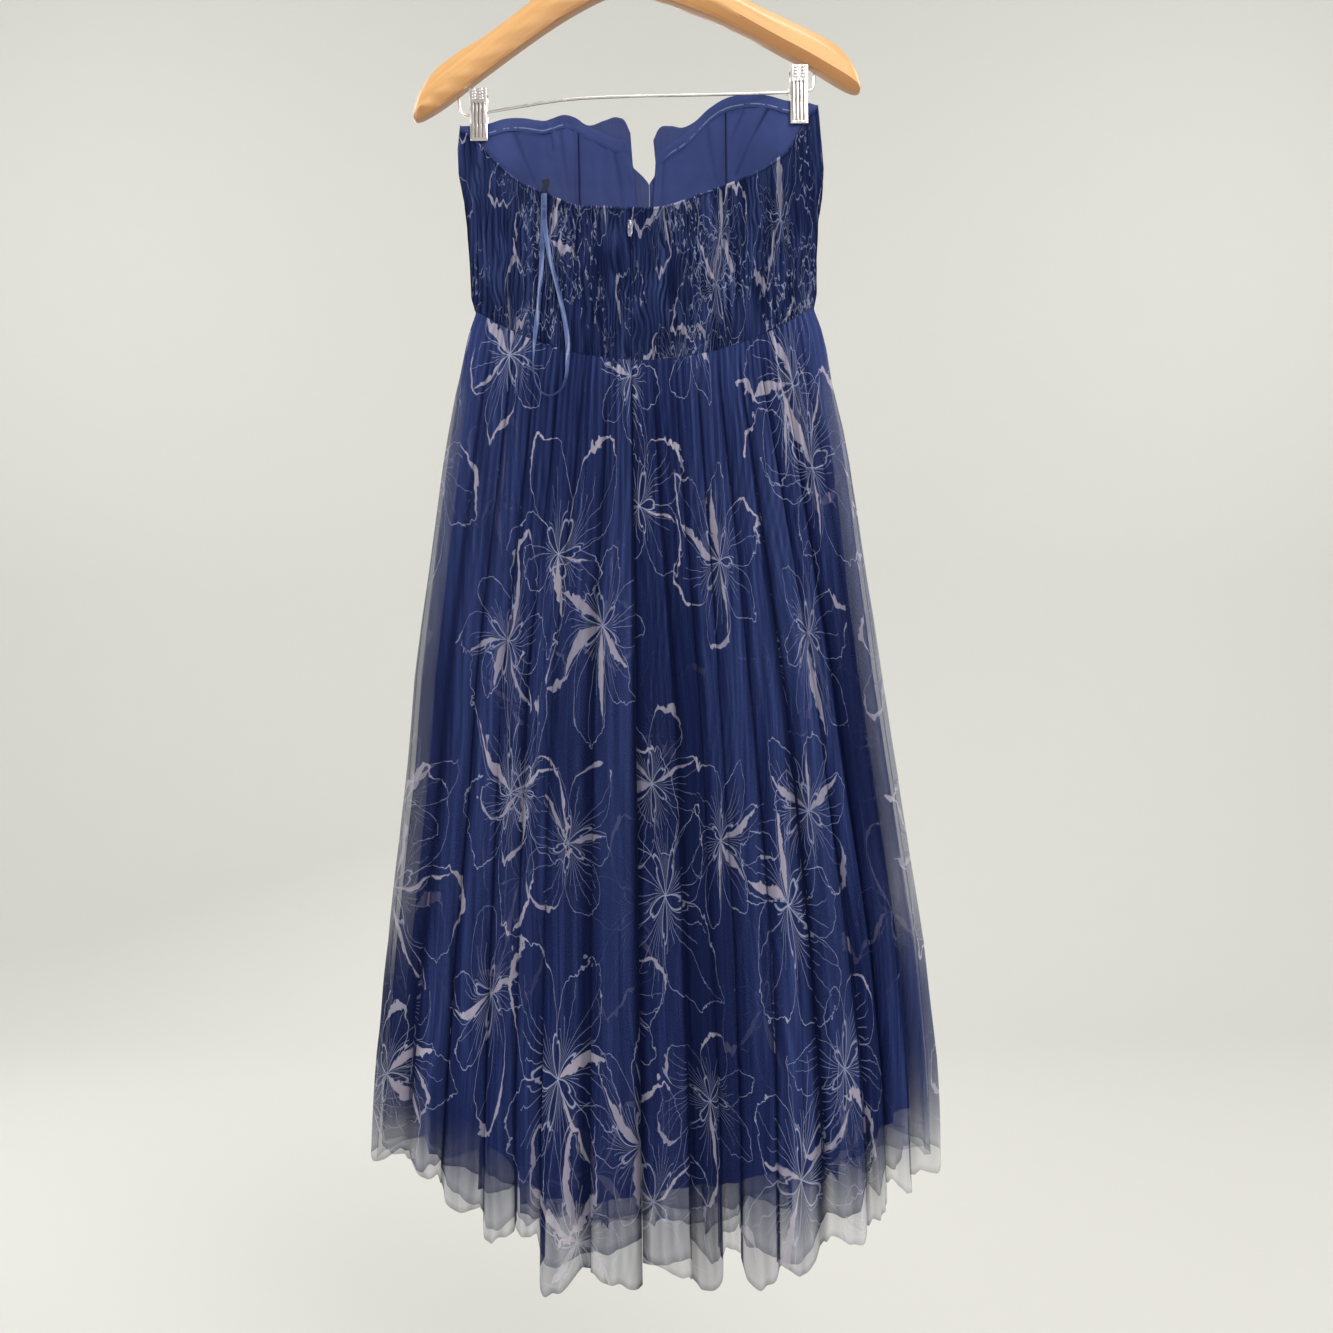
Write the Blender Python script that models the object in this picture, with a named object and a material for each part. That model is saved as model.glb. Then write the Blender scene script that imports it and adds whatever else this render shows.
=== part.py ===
"""Strapless dress hung by two clips from a wooden hanger, seen from its back.

Tables and sizes are in millimetres and every mesh is made in metres. The
origin is the place inside the hook's bend that rests on a rod. X runs along
the hanger, Z is up, the garment's back faces -Y and its front faces +Y.
"""
import math

import bmesh
import bpy
from mathutils import Vector

MM = 0.001
SEAM = 0.3
BACK = -1
FRONT = 1

# Garment outline by height. Each row: height, left edge, right edge, depth
# of the back and of the front, how far the largest folds stand out, and the
# edge power, 2 for a lens with sharp sides and 1 for an oval.
OUTLINE_COLUMNS = ("height", "left", "right", "back", "front", "fold", "power")
OUTLINE = (
    (-240, -168, 181, 4, 26, 0, 2.0),
    (-273, -168, 184, 7, 30, 0, 2.0),
    (-300, -171, 186, 9, 36, 0, 2.0),
    (-323, -170, 187, 12, 39, 0, 2.0),
    (-352, -164, 184, 15, 38, 0, 2.0),
    (-375, -161, 180, 17, 35, 0, 2.0),
    (-412, -159, 178, 19, 29, 0, 2.0),
    (-445, -158, 178, 20, 25, 0, 2.0),
    (-460, -154, 175, 20, 24, 0, 2.0),
    (-480, -160, 181, 21, 24, 1.0, 1.9),
    (-503, -165, 186, 22, 25, 2.0, 1.8),
    (-540, -175, 193, 25, 26, 4, 1.6),
    (-578, -182, 201, 27, 27, 6, 1.5),
    (-662, -196, 214, 31, 30, 10, 1.35),
    (-740, -208, 224, 35, 32, 13, 1.25),
    (-814, -219, 234, 38, 33, 15, 1.2),
    (-916, -230, 250, 42, 35, 18, 1.15),
    (-1078, -251, 274, 48, 38, 21, 1.05),
    (-1190, -263, 284, 52, 40, 23, 1.0),
    (-1300, -273, 289, 55, 42, 24, 1.0),
    (-1420, -280, 293, 57, 43, 25, 1.0),
)

# How far the inmost surface stands in from the outline below the waist.
INSET = {"start": -470, "length": 70, "depth": 3.0, "fold_share": 0.85}
# Waist seam: its height at the side seams, how far it dips at the centre.
WAIST_SIDE = -459.0
WAIST_DIP = 55.0
# Top edge of the back, by x.
BACK_TOP = (
    (-170, -275), (-158, -282), (-148, -289), (-138, -299), (-124, -315),
    (-106, -333), (-84, -346), (-56, -359), (-25, -362), (7, -364),
    (30, -363), (66, -350), (105, -334), (134, -316), (152, -301),
    (163, -284), (172, -270), (188, -260),
)
# Top edge of the outer front, by x, with its lobes beside the notch.
FRONT_TOP = (
    (-170, -275), (-138, -273), (-126, -269), (-106, -263), (-86, -264),
    (-66, -256), (-55, -257), (-44, -265), (-27, -260), (-14, -257),
    (-6, -262), (-2, -272), (20, -279), (26, -269), (38, -266), (50, -268),
    (61, -264), (78, -251), (98, -243), (120, -244), (136, -249),
    (150, -254), (173, -256), (188, -261),
)
# How far the lining's top edge lies below the outer front's, by x.
LINING_DROP = (
    (-170, 1), (-50, 1), (-40, 4), (-27, 14), (-14, 22), (-2, 17), (20, 18),
    (26, 24), (38, 17), (50, 8), (61, 3), (78, 1), (188, 1),
)
# Centre front: the notch edges by height, left and right, then the seam.
NOTCH = (
    (-240, -3, 19), (-272, -2, 20), (-304, 0, 23), (-312, 9, 22),
    (-320, 15.85, 16.15), (-520, 15.85, 16.15),
)
# Inner edges of the lining at the centre front, by height.
LINING_EDGE = (
    (-240, -3, 24), (-286, -2, 24), (-345, 3, 19), (-440, 15.85, 16.15),
    (-520, 15.85, 16.15),
)
# How far the lining stands in from the outer front, from its centre edge on.
LINING_EASE = (0.9, 0.8, 0.4)
BACK_SEAM_X = -2.5
FRONT_CENTRE_X = 16
PRINCESS_X = {"left": -54, "right": 93}
# Heights at which the columns' places across the bodice are read.
BACK_GUIDE = -360
FRONT_GUIDE = -340
TOP_GUIDE = -272

# Layers as distances out from the garment's inmost surface.
BACK_WALL = (0.0, 1.6)
FACING = (0.0, 1.0)
FRONT_LINING = (1.3, 2.5)
FRONT_OUTER = (2.8, 4.0)
SKIRT_LAYERS = {
    BACK: {"lining": (0.0, 1.2), "overlay": (1.5, 2.7)},
    FRONT: {"lining": (1.3, 2.5), "overlay": (2.8, 4.0)},
}
RUCHE = 0.9
RUCHE_SWAY = 0.35
GATHER = 1.1
GATHER_LENGTH = 170

# Large folds of the back overlay, from the side to the centre seam on the
# left and from the centre seam to the side on the right. Each row: where the
# fold ends halfway down and at the hem, as shares of that half, its height
# against the outline's, and its hem.
FOLD_COLUMNS = ("middle", "end", "height", "hem")
BACK_FOLDS = {
    "left": (
        (0.122, 0.110, 0.85, -1275), (0.239, 0.226, 0.90, -1287),
        (0.373, 0.398, 1.10, -1314), (0.498, 0.527, 0.95, -1338),
        (0.622, 0.635, 0.80, -1336), (0.800, 0.807, 1.15, -1384),
        (1.000, 1.000, 1.00, -1376),
    ),
    "right": (
        (0.160, 0.168, 0.95, -1368), (0.257, 0.266, 1.10, -1379),
        (0.353, 0.340, 0.75, -1352), (0.498, 0.475, 1.10, -1380),
        (0.633, 0.633, 1.15, -1369), (0.768, 0.790, 1.00, -1346),
        (0.846, 0.857, 0.80, -1327), (0.923, 0.927, 0.90, -1305),
        (1.000, 1.000, 0.85, -1292),
    ),
}
# Large folds of the front overlay, from the left side to the right.
FRONT_FOLDS = (
    (0.075, 0.070, 0.80, -1285), (0.150, 0.160, 0.90, -1318),
    (0.245, 0.240, 0.80, -1345), (0.335, 0.340, 0.95, -1372),
    (0.415, 0.405, 0.75, -1380), (0.500, 0.505, 0.95, -1378),
    (0.590, 0.600, 0.90, -1384), (0.675, 0.665, 0.75, -1376),
    (0.765, 0.770, 0.95, -1362), (0.845, 0.855, 0.85, -1342),
    (0.925, 0.920, 0.80, -1316), (1.000, 1.000, 0.80, -1297),
)
FOLD_STEPS = 8
FOLD_FLATNESS = 0.6
FOLD_SETTLED = 0.45
VALLEY_LIFT = 9
LINING_HEM = (
    (0.0, -1183), (0.15, -1243), (0.35, -1312), (0.5, -1302),
    (0.75, -1289), (1.0, -1243),
)
LINING_FOLDS = 5
LINING_STEPS = 4
# How far the lining drifts inward: over the first stretch, then slowly, and in
# its soft folds.
LINING_DRIFT = {"start": 90, "slope": 0.05, "most": 4.0, "fold_slope": 0.02, "fold_most": 9.0}
OVERLAY_ROWS = (0.0, 0.04, 0.13, 0.28, 0.48, 0.74, 1.0)
LINING_ROWS = (0.0, 0.12, 0.35, 0.67, 1.0)
BACK_ROWS = (0.0, 0.22, 0.48, 0.75, 1.0)
FRONT_ROWS = (0.0, 0.133, 0.2, 0.45, 0.72, 1.0)
BACK_STEPS = 56
FRONT_STEPS = {"left": (17, 11), "right": (12, 16)}
FACING_DEPTH = 13

# Clips: centre, top and bottom of each jaw, and the bar inside it.
CLIPS = {
    "left": {"x": -149.5, "top": -243, "bottom": -292, "bar": -264.6},
    "right": {"x": 164.0, "top": -224, "bottom": -279, "bar": -247.2},
}
CLIP_WIDTH = 17.0
JAW_FLARE = 4.0
# How the clips press the two sides together: across, then down from the jaws.
PINCH = {"half": 14, "across": 50, "rise": 4, "down": 95}
JAW_THICKNESS = 1.0
BAR_RADIUS = 1.6
SPRING_RADIUS = 3.2
BAR_PATH = (
    (-169, -246), (-168.5, -258), (-167, -263), (-163, -266.1), (-160, -266.4),
    (-110, -258.1), (-70, -251.5), (-30, -249.3), (67, -248.8), (130, -248.1),
    (174.5, -246.9), (177.5, -245), (179, -240), (179.3, -228),
)

# Wooden body, stations from the left tip to the right tip. Each row: x,
# upper edge, crease, lower edge and half the thickness at the crease.
WOOD_COLUMNS = ("x", "upper", "crease", "lower", "half")
WOOD = (
    (-213.5, -263, -266, -270, 5.0), (-211, -250, -264, -272, 8.0),
    (-203, -233, -258, -269, 10.0), (-186, -217, -246, -259, 11.0),
    (-166, -203, -230, -244, 11.0), (-145, -192, -213, -228, 11.0),
    (-106, -163, -183, -200, 11.0), (-70, -136, -159, -175, 11.5),
    (-35, -109, -133, -156, 12.0), (-18, -99, -121, -149, 12.0),
    (-4, -95, -113, -146, 12.0), (12, -98, -119, -150, 12.0),
    (36, -110, -134, -157, 12.0), (84, -139, -162, -176, 11.5),
    (116, -159, -181, -192, 11.0), (149, -175, -200, -211, 11.0),
    (174, -187, -213, -223, 11.0), (198, -200, -228, -239, 11.0),
    (212, -212, -236, -247, 10.5), (220, -224, -242, -250, 9.0),
    (224.5, -240, -244, -249, 5.0),
)
WOOD_TOP_HALF = 3.5
WOOD_BOTTOM_HALF = 6.5

# Wire hook: collar and stem as rows of x, height and radius, then the bend
# round the rod that carries it, from one angle to the other.
HOOK_WIRE = 1.8
HOOK_INSIDE = 20.0
HOOK_STEM = (
    (-4.0, -94.6, 5.0), (-4.36, -90.6, 5.0), (-4.41, -89.8, 1.8),
    (-6.2, -66, 1.8), (-4.5, -56, 1.8), (6.0, -45.5, 1.8),
)
HOOK_ARC = (-45, 205)
HOOK_STEPS = 18

# Zip and its pull.
ZIP_TOP_DROP = 1.0
ZIP_END = -588
ZIP_WIDTH = 10.0
ZIP_THICKNESS = 1.2
SLIDER_HEIGHT = -381.0
SLIDER_HALF_WIDTH = 1.1
SLIDER_OUTER = (
    (3.3, -3.0), (-0.6, -3.0), (-1.3, -2.2), (-1.3, 2.2), (-0.6, 3.0), (3.3, 3.0),
)
SLIDER_HOLE = (
    (1.0, -0.9), (0.1, -0.95), (-0.8, -0.9), (-0.8, 0.9), (0.1, 0.95), (1.0, 0.9),
)
TAB_HALF_THICKNESS = 0.45
TAB_OUTER = (
    (2.2, 0.5), (-2.2, 0.5), (-2.2, -9.0), (-1.2, -13.0), (1.2, -13.0), (2.2, -9.0),
)
TAB_HOLE = (
    (1.4, -0.5), (-1.4, -0.5), (-1.4, -2.6), (-1.0, -3.4), (1.0, -3.4), (1.4, -2.6),
)

# Ribbon loop: both runs hang outside the back from the folded tab.
RIBBON_WIDTH = 6.0
RIBBON_THICKNESS = 1.0
RIBBON_PATH = (
    (-86, -349), (-87, -375), (-88, -408), (-91, -446), (-94, -475),
    (-97, -504), (-97, -522), (-94, -536), (-88, -545), (-80, -548),
    (-72, -544), (-66, -533), (-64, -516), (-63.5, -499), (-67, -470),
    (-72, -447), (-81, -408), (-85, -375), (-85, -349),
)
RIBBON_CLEARANCE = 1.3
RIBBON_LIFT = {"start": -440, "length": 40, "depth": 2.0, "fold_share": 1.1}
FOLDED_TAB = {"left": -88.0, "right": -79.0, "top": -337.0, "bottom": -348.7, "thickness": 2.4}


def clear_scene():
    for thing in list(bpy.data.objects):
        bpy.data.objects.remove(thing, do_unlink=True)


def material(name, colour, roughness, metallic):
    made = bpy.data.materials.new(name)
    made.use_nodes = True
    shader = made.node_tree.nodes["Principled BSDF"]
    shader.inputs["Base Color"].default_value = (*colour, 1.0)
    shader.inputs["Roughness"].default_value = roughness
    shader.inputs["Metallic"].default_value = metallic
    return made


def lookup(table, key, column=1):
    """Straight-line value of a column at a key, for rows in order of the key."""
    rows = table if table[0][0] < table[-1][0] else table[::-1]
    if key <= rows[0][0]:
        return rows[0][column]
    for low, high in zip(rows, rows[1:]):
        if key <= high[0]:
            share = (key - low[0]) / (high[0] - low[0])
            return low[column] + (high[column] - low[column]) * share
    return rows[-1][column]


def outline(height, name):
    return lookup(OUTLINE, height, OUTLINE_COLUMNS.index(name))


def smooth(value):
    value = min(1.0, max(0.0, value))
    return value * value * (3 - 2 * value)


def edges(height):
    """Left and right ends of the inmost surface, inside the folds."""
    inset = smooth((INSET["start"] - height) / INSET["length"]) * INSET["depth"]
    inset += outline(height, "fold") * INSET["fold_share"]
    return outline(height, "left") + inset, outline(height, "right") - inset


def share_at(x, height):
    left, right = edges(height)
    return (x - left) / (right - left)


def waist_height(share_of):
    """Height of the waist seam where the share of the width depends on height."""
    height = WAIST_SIDE - WAIST_DIP / 2
    for _ in range(8):
        share = min(1.0, max(0.0, share_of(height)))
        height = WAIST_SIDE - WAIST_DIP * (4 * share * (1 - share)) ** 1.1
    return height


def pinch(x, height):
    """How far a clip presses the two sides together, from 0 to 1."""
    pressed = 0.0
    for row in CLIPS.values():
        inward = (x - row["x"]) if row["x"] < 0 else (row["x"] - x)
        across = 1 - smooth((inward - PINCH["half"]) / PINCH["across"])
        down = 1 - smooth((row["bottom"] - PINCH["rise"] - height) / PINCH["down"])
        pressed = max(pressed, across * down)
    return pressed


def flat_point(side, share, height):
    """Point of the inmost surface, before any layer is moved out from it."""
    left, right = edges(height)
    x = left + (right - left) * share
    depth = outline(height, "back" if side == BACK else "front")
    round_share = max(0.0, 4 * share * (1 - share))
    bulge = depth * round_share ** (outline(height, "power") / 2)
    return Vector((x, side * (SEAM / 2 + bulge * (1 - pinch(x, height))), height))


def outward(side, share, height):
    """Level direction away from the inside of the garment."""
    step = 0.004
    near = flat_point(side, max(0.0, share - step), height)
    far = flat_point(side, min(1.0, share + step), height)
    along = far - near
    return Vector((-along.y, along.x, 0)).normalized() * side


def garment_point(side, share, height, out):
    return flat_point(side, share, height) + outward(side, share, height) * out


def new_object(name, points, faces, finish, smooth_faces=True, sharp=35):
    """Mesh object from millimetre points, with its material."""
    mesh = bpy.data.meshes.new(name)
    mesh.from_pydata([Vector(point) * MM for point in points], [], faces)
    build = bmesh.new()
    build.from_mesh(mesh)
    bmesh.ops.recalc_face_normals(build, faces=build.faces)
    build.to_mesh(mesh)
    build.free()
    mesh.materials.append(finish)
    if smooth_faces:
        mesh.shade_smooth()
        mesh.set_sharp_from_angle(angle=math.radians(sharp))
    thing = bpy.data.objects.new(name, mesh)
    bpy.context.scene.collection.objects.link(thing)
    return thing


def wall(name, inner, outer, finish):
    """Closed wall between two grids of points with the same rows and columns."""
    rows = len(inner)
    columns = len(inner[0])
    points = [point for grid in (inner, outer) for row in grid for point in row]
    outer_start = rows * columns
    faces = []
    for row in range(rows - 1):
        for column in range(columns - 1):
            a = row * columns + column
            b = a + columns
            for corners in ((a, a + 1, b + 1), (a, b + 1, b)):
                faces.append(corners)
                faces.append(tuple(outer_start + corner for corner in reversed(corners)))
    rim = [column for column in range(columns)]
    rim += [row * columns + columns - 1 for row in range(1, rows)]
    rim += [(rows - 1) * columns + column for column in range(columns - 2, -1, -1)]
    rim += [row * columns for row in range(rows - 2, 0, -1)]
    for a, b in zip(rim, rim[1:] + rim[:1]):
        faces.append((b, a, outer_start + a, outer_start + b))
    return new_object(name, points, faces, finish)


def prism(name, outer, hole, start, end, axis, finish, centre=(0, 0, 0)):
    """Flat outline run along an axis, with an optional hole of as many points."""
    order = {"x": (2, 0, 1), "y": (0, 2, 1), "z": (0, 1, 2)}[axis]

    def place(point, along):
        values = (point[0], point[1], along)
        return Vector([values[index] for index in order]) + Vector(centre)

    count = len(outer)
    loops = [outer] if hole is None else [outer, hole]
    points = [place(point, along) for along in (start, end) for loop in loops for point in loop]
    level = count * len(loops)
    faces = []
    for first in range(0, level, count):
        for index in range(count):
            a = first + index
            b = first + (index + 1) % count
            faces.append((a, b, b + level, a + level))
    for base in (0, level):
        if hole is None:
            faces.append(tuple(base + index for index in range(count)))
            continue
        for index in range(count):
            a = base + index
            b = base + (index + 1) % count
            faces.append((a, b, b + count, a + count))
    return new_object(name, points, faces, finish, smooth_faces=False)


def tube(name, path, radii, finish, sides=8, hole=0.0):
    """Round wire along a path in the XZ plane, or a sleeve if hole is given."""
    path = [Vector((x, 0, z)) for x, z in path]
    rings = []
    for index, point in enumerate(path):
        before = path[max(0, index - 1)]
        after = path[min(len(path) - 1, index + 1)]
        along = (after - before).normalized()
        across = Vector((along.z, 0, -along.x))
        for radius in ((radii[index], hole) if hole else (radii[index],)):
            ring = []
            for side in range(sides):
                angle = math.tau * side / sides
                offset = across * math.cos(angle) + Vector((0, 1, 0)) * math.sin(angle)
                ring.append(point + offset * radius)
            rings.append(ring)
    points = [point for ring in rings for point in ring]
    step = 2 if hole else 1
    faces = []
    for layer in range(step):
        for index in range(len(path) - 1):
            a = (index * step + layer) * sides
            b = a + step * sides
            for side in range(sides):
                after = (side + 1) % sides
                faces.append((a + side, a + after, b + after, b + side))
    last = (len(path) - 1) * step * sides
    if hole:
        for base in (0, last):
            for side in range(sides):
                after = (side + 1) % sides
                faces.append((base + side, base + after, base + sides + after, base + sides + side))
    else:
        faces.append(tuple(range(sides)))
        faces.append(tuple(last + side for side in range(sides)))
    return new_object(name, points, faces, finish)


def half_share(half, fraction, height):
    """Share of the width for a fraction of the left or right half of the back."""
    middle = share_at(BACK_SEAM_X, height)
    if half == "left":
        return middle * fraction
    return middle + (1 - middle) * fraction


def seam_shift(half):
    """Half the seam's gap, towards the piece's own side."""
    return Vector((-SEAM / 2 if half == "left" else SEAM / 2, 0, 0))


def bodice_back(half, finish):
    """Ruched half of the back, from the scooped top edge to the waist seam."""
    inner, outer = [], []
    left, right = edges(BACK_GUIDE)
    seam_column = BACK_STEPS if half == "left" else 0
    for row, down in enumerate(BACK_ROWS):
        inner_row, outer_row = [], []
        for column in range(BACK_STEPS + 1):
            wave = RUCHE_SWAY * math.sin(column * 0.9 + row * 2.1)
            if column in (0, BACK_STEPS):
                wave = 0.0
            fraction = (column + wave) / BACK_STEPS
            x = left + (right - left) * half_share(half, fraction, BACK_GUIDE)
            top = lookup(BACK_TOP, x)
            bottom = waist_height(lambda level: half_share(half, fraction, level)) + SEAM / 2
            height = top + (bottom - top) * down
            share = half_share(half, fraction, height)
            point = flat_point(BACK, share, height)
            normal = outward(BACK, share, height)
            raised = RUCHE * (0.75 + 0.25 * math.sin(column * 1.7)) * (1 - pinch(point.x, height))
            if column % 2 == 0 or abs(column - seam_column) < 3 or column in (0, BACK_STEPS):
                raised = 0.0
            if column == seam_column:
                normal = Vector((0, -1, 0))
                point = point + seam_shift(half)
            inner_row.append(point + normal * BACK_WALL[0])
            outer_row.append(point + normal * (BACK_WALL[1] + raised))
        inner.append(inner_row)
        outer.append(outer_row)
    return wall("bodice_back_" + half, inner, outer, finish)


def front_fractions(half):
    """Column places across half the front, with one on the princess seam."""
    first, second = FRONT_STEPS[half]
    centre = FRONT_CENTRE_X
    left, right = edges(FRONT_GUIDE)
    if half == "left":
        seam = (PRINCESS_X["left"] - left) / (centre - left)
    else:
        seam = (PRINCESS_X["right"] - centre) / (right - centre)
    places = [seam * index / first for index in range(first)]
    return places + [seam + (1 - seam) * index / second for index in range(second + 1)]


def front_grid(half):
    """Points and outward directions that every layer of that half shares."""
    side_column = 1 if half == "left" else 2

    def place(fraction, height):
        left, right = edges(height)
        centre = lookup(NOTCH, height, side_column)
        start, end = (left, centre) if half == "left" else (centre, right)
        return start + (end - start) * fraction

    grid = []
    for down in FRONT_ROWS:
        row = []
        for fraction in front_fractions(half):
            top = lookup(FRONT_TOP, place(fraction, TOP_GUIDE))
            bottom = waist_height(lambda level: share_at(place(fraction, level), level)) + SEAM / 2
            height = top + (bottom - top) * down
            share = share_at(place(fraction, height), height)
            row.append((flat_point(FRONT, share, height), outward(FRONT, share, height)))
        grid.append(row)
    return grid


def blend(first, second, share):
    point = first[0].lerp(second[0], share)
    normal = first[1].lerp(second[1], share).normalized()
    return point, normal


def lining_grid(half, grid):
    """The front's grid with the lining's own top edge and centre edge."""
    trimmed = []
    for row_index, row in enumerate(grid):
        cells = list(row)
        if row_index == 0:
            cells = []
            for top, below in zip(row, grid[1]):
                drop = lookup(LINING_DROP, top[0].x)
                cells.append(blend(top, below, drop / (top[0].z - below[0].z)))
        inmost, kept = (-1, -3) if half == "left" else (0, 2)
        column = 1 if half == "left" else 2
        edge_x = lookup(LINING_EDGE, cells[inmost][0].z, column)
        reach = (edge_x - cells[kept][0].x) / (cells[inmost][0].x - cells[kept][0].x)
        edge = blend(cells[kept], cells[inmost], min(1.0, reach))
        cells = cells[:-2] + [edge] if half == "left" else [edge] + cells[2:]
        for place, ease in zip(range(3), LINING_EASE):
            index = -1 - place if half == "left" else place
            point, normal = cells[index]
            cells[index] = (point - normal * ease, normal)
        trimmed.append(cells)
    return trimmed


def layer_wall(name, grid, layer, finish, relief=None, shifts=(0.0, 0.0)):
    """Wall between two distances out from a grid, its end columns moved in x."""
    inner, outer = [], []
    last = len(grid[0]) - 1
    for row in grid:
        inner_row, outer_row = [], []
        for column, (point, normal) in enumerate(row):
            shift = shifts[0] if column == 0 else shifts[1] if column == last else 0.0
            moved = point + Vector((shift, 0, 0))
            raised = relief(column, point) if relief else 0.0
            inner_row.append(moved + normal * layer[0])
            outer_row.append(moved + normal * (layer[1] + raised))
        inner.append(inner_row)
        outer.append(outer_row)
    return wall(name, inner, outer, finish)


def bodice_front(half, ruched, plain, strip):
    """Outer front, two lining panels and the facing of one half."""
    grid = front_grid(half)
    last = len(grid[0]) - 1

    def relief(column, point):
        if column % 2 == 0 or column in (0, last):
            return 0.0
        return (RUCHE + 0.1 * math.sin(column * 1.3)) * (1 - pinch(point.x, point.z))

    layer_wall("bodice_front_" + half, grid, FRONT_OUTER, ruched, relief)
    inside = lining_grid(half, grid)
    cut = FRONT_STEPS[half][0] if half == "left" else FRONT_STEPS[half][0] - 1
    parts = (("side", "centre") if half == "left" else ("centre", "side"))
    first = [row[:cut + 1] for row in inside]
    second = [row[cut:] for row in inside]
    gap = SEAM / 2
    layer_wall("lining_%s_%s" % (parts[0], half), first, FRONT_LINING, plain, shifts=(0, -gap))
    layer_wall("lining_%s_%s" % (parts[1], half), second, FRONT_LINING, plain, shifts=(gap, 0))
    strip_rows = []
    for drop in (0.6, FACING_DEPTH):
        row = []
        for top, below in zip(inside[0], inside[1]):
            row.append(blend(top, below, drop / (top[0].z - below[0].z)))
        strip_rows.append(row)
    layer_wall("front_facing_" + half, strip_rows, FACING, strip)


def fold_value(folds, index, name):
    return folds[index][FOLD_COLUMNS.index(name)]


def fold_places(folds, down):
    """Ends of each fold at a share of the way down: even at the waist."""
    places = [0.0]
    for index in range(len(folds)):
        even = (index + 1) / len(folds)
        middle = fold_value(folds, index, "middle")
        end = fold_value(folds, index, "end")
        upper = smooth(down / FOLD_SETTLED)
        lower = smooth((down - FOLD_SETTLED) / (1 - FOLD_SETTLED))
        places.append(even + (middle - even) * upper + (end - middle) * lower)
    return places


def overlay_grid(side, half, folds):
    """Folded and gathered tulle: inner points, outer points."""
    layer = SKIRT_LAYERS[side]["overlay"]
    inner, outer = [], []
    last = len(folds) * FOLD_STEPS
    for down in OVERLAY_ROWS:
        ends = fold_places(folds, down)
        inner_row, outer_row = [], []
        for column in range(last + 1):
            index = min(column // FOLD_STEPS, len(folds) - 1)
            within = column / FOLD_STEPS - index
            fraction = ends[index] + (ends[index + 1] - ends[index]) * within
            crest = math.sin(math.pi * within) ** FOLD_FLATNESS if 0 < within < 1 else 0.0
            neighbour = min(max(index + (1 if within > 0.5 else -1), 0), len(folds) - 1)
            away = abs(within - 0.5)
            hem = fold_value(folds, index, "hem") * (1 - away)
            hem += fold_value(folds, neighbour, "hem") * away + VALLEY_LIFT * (1 - crest)
            top = waist_height(lambda level: whole_share(half, fraction, level)) - SEAM / 2
            height = top + (hem - top) * down
            share = whole_share(half, fraction, height)
            point = flat_point(side, share, height)
            normal = outward(side, share, height)
            seam = seam_ends(half, column, last)
            if seam:
                normal = Vector((0, side, 0))
                point = point + seam_shift(half)
            fold = outline(height, "fold") * fold_value(folds, index, "height") * crest
            fade = max(0.0, 1 - (top - height) / GATHER_LENGTH)
            raised = GATHER * fade if column % 2 else 0.0
            inner_row.append(point + normal * (layer[0] + fold))
            outer_row.append(point + normal * (layer[1] + fold + raised))
        inner.append(inner_row)
        outer.append(outer_row)
    return inner, outer


def whole_share(half, fraction, height):
    return fraction if half == "whole" else half_share(half, fraction, height)


def seam_ends(half, column, last):
    """Whether a column lies on the centre back seam."""
    return (half == "left" and column == last) or (half == "right" and column == 0)


def skirt_overlay(side, half, folds, finish):
    inner, outer = overlay_grid(side, half, folds)
    end = "" if half == "whole" else "_" + half
    name = "skirt_overlay_" + ("back" if side == BACK else "front") + end
    return wall(name, inner, outer, finish)


def skirt_lining(side, half, folds, finish):
    """Opaque under-skirt with soft folds that stay inside the overlay."""
    layer = SKIRT_LAYERS[side]["lining"]
    inner, outer = [], []
    last = folds * LINING_STEPS
    for down in LINING_ROWS:
        inner_row, outer_row = [], []
        for column in range(last + 1):
            fraction = column / last
            top = waist_height(lambda level: whole_share(half, fraction, level)) - SEAM / 2
            hem = lookup(LINING_HEM, whole_share(half, fraction, LINING_HEM[1][1]))
            height = top + (hem - top) * down
            share = whole_share(half, fraction, height)
            point = flat_point(side, share, height)
            normal = outward(side, share, height)
            if seam_ends(half, column, last):
                normal = Vector((0, side, 0))
                point = point + seam_shift(half)
            below = max(0.0, top - height - LINING_DRIFT["start"])
            swing = 0.5 - 0.5 * math.cos(math.tau * column / LINING_STEPS)
            inward = smooth((top - height) / LINING_DRIFT["start"])
            inward += min(LINING_DRIFT["most"], below * LINING_DRIFT["slope"])
            inward += min(LINING_DRIFT["fold_most"], below * LINING_DRIFT["fold_slope"]) * swing
            if share < 0.001 or share > 0.999:
                side_in = Vector((1 if share < 0.5 else -1, 0, 0))
                point = point + side_in * (inward + layer[1] * smooth(below / LINING_DRIFT["start"]))
                inward = 0.0
            inner_row.append(point + normal * (layer[0] - inward))
            outer_row.append(point + normal * (layer[1] - inward))
        inner.append(inner_row)
        outer.append(outer_row)
    end = "" if half == "whole" else "_" + half
    name = "skirt_lining_" + ("back" if side == BACK else "front") + end
    return wall(name, inner, outer, finish)


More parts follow.
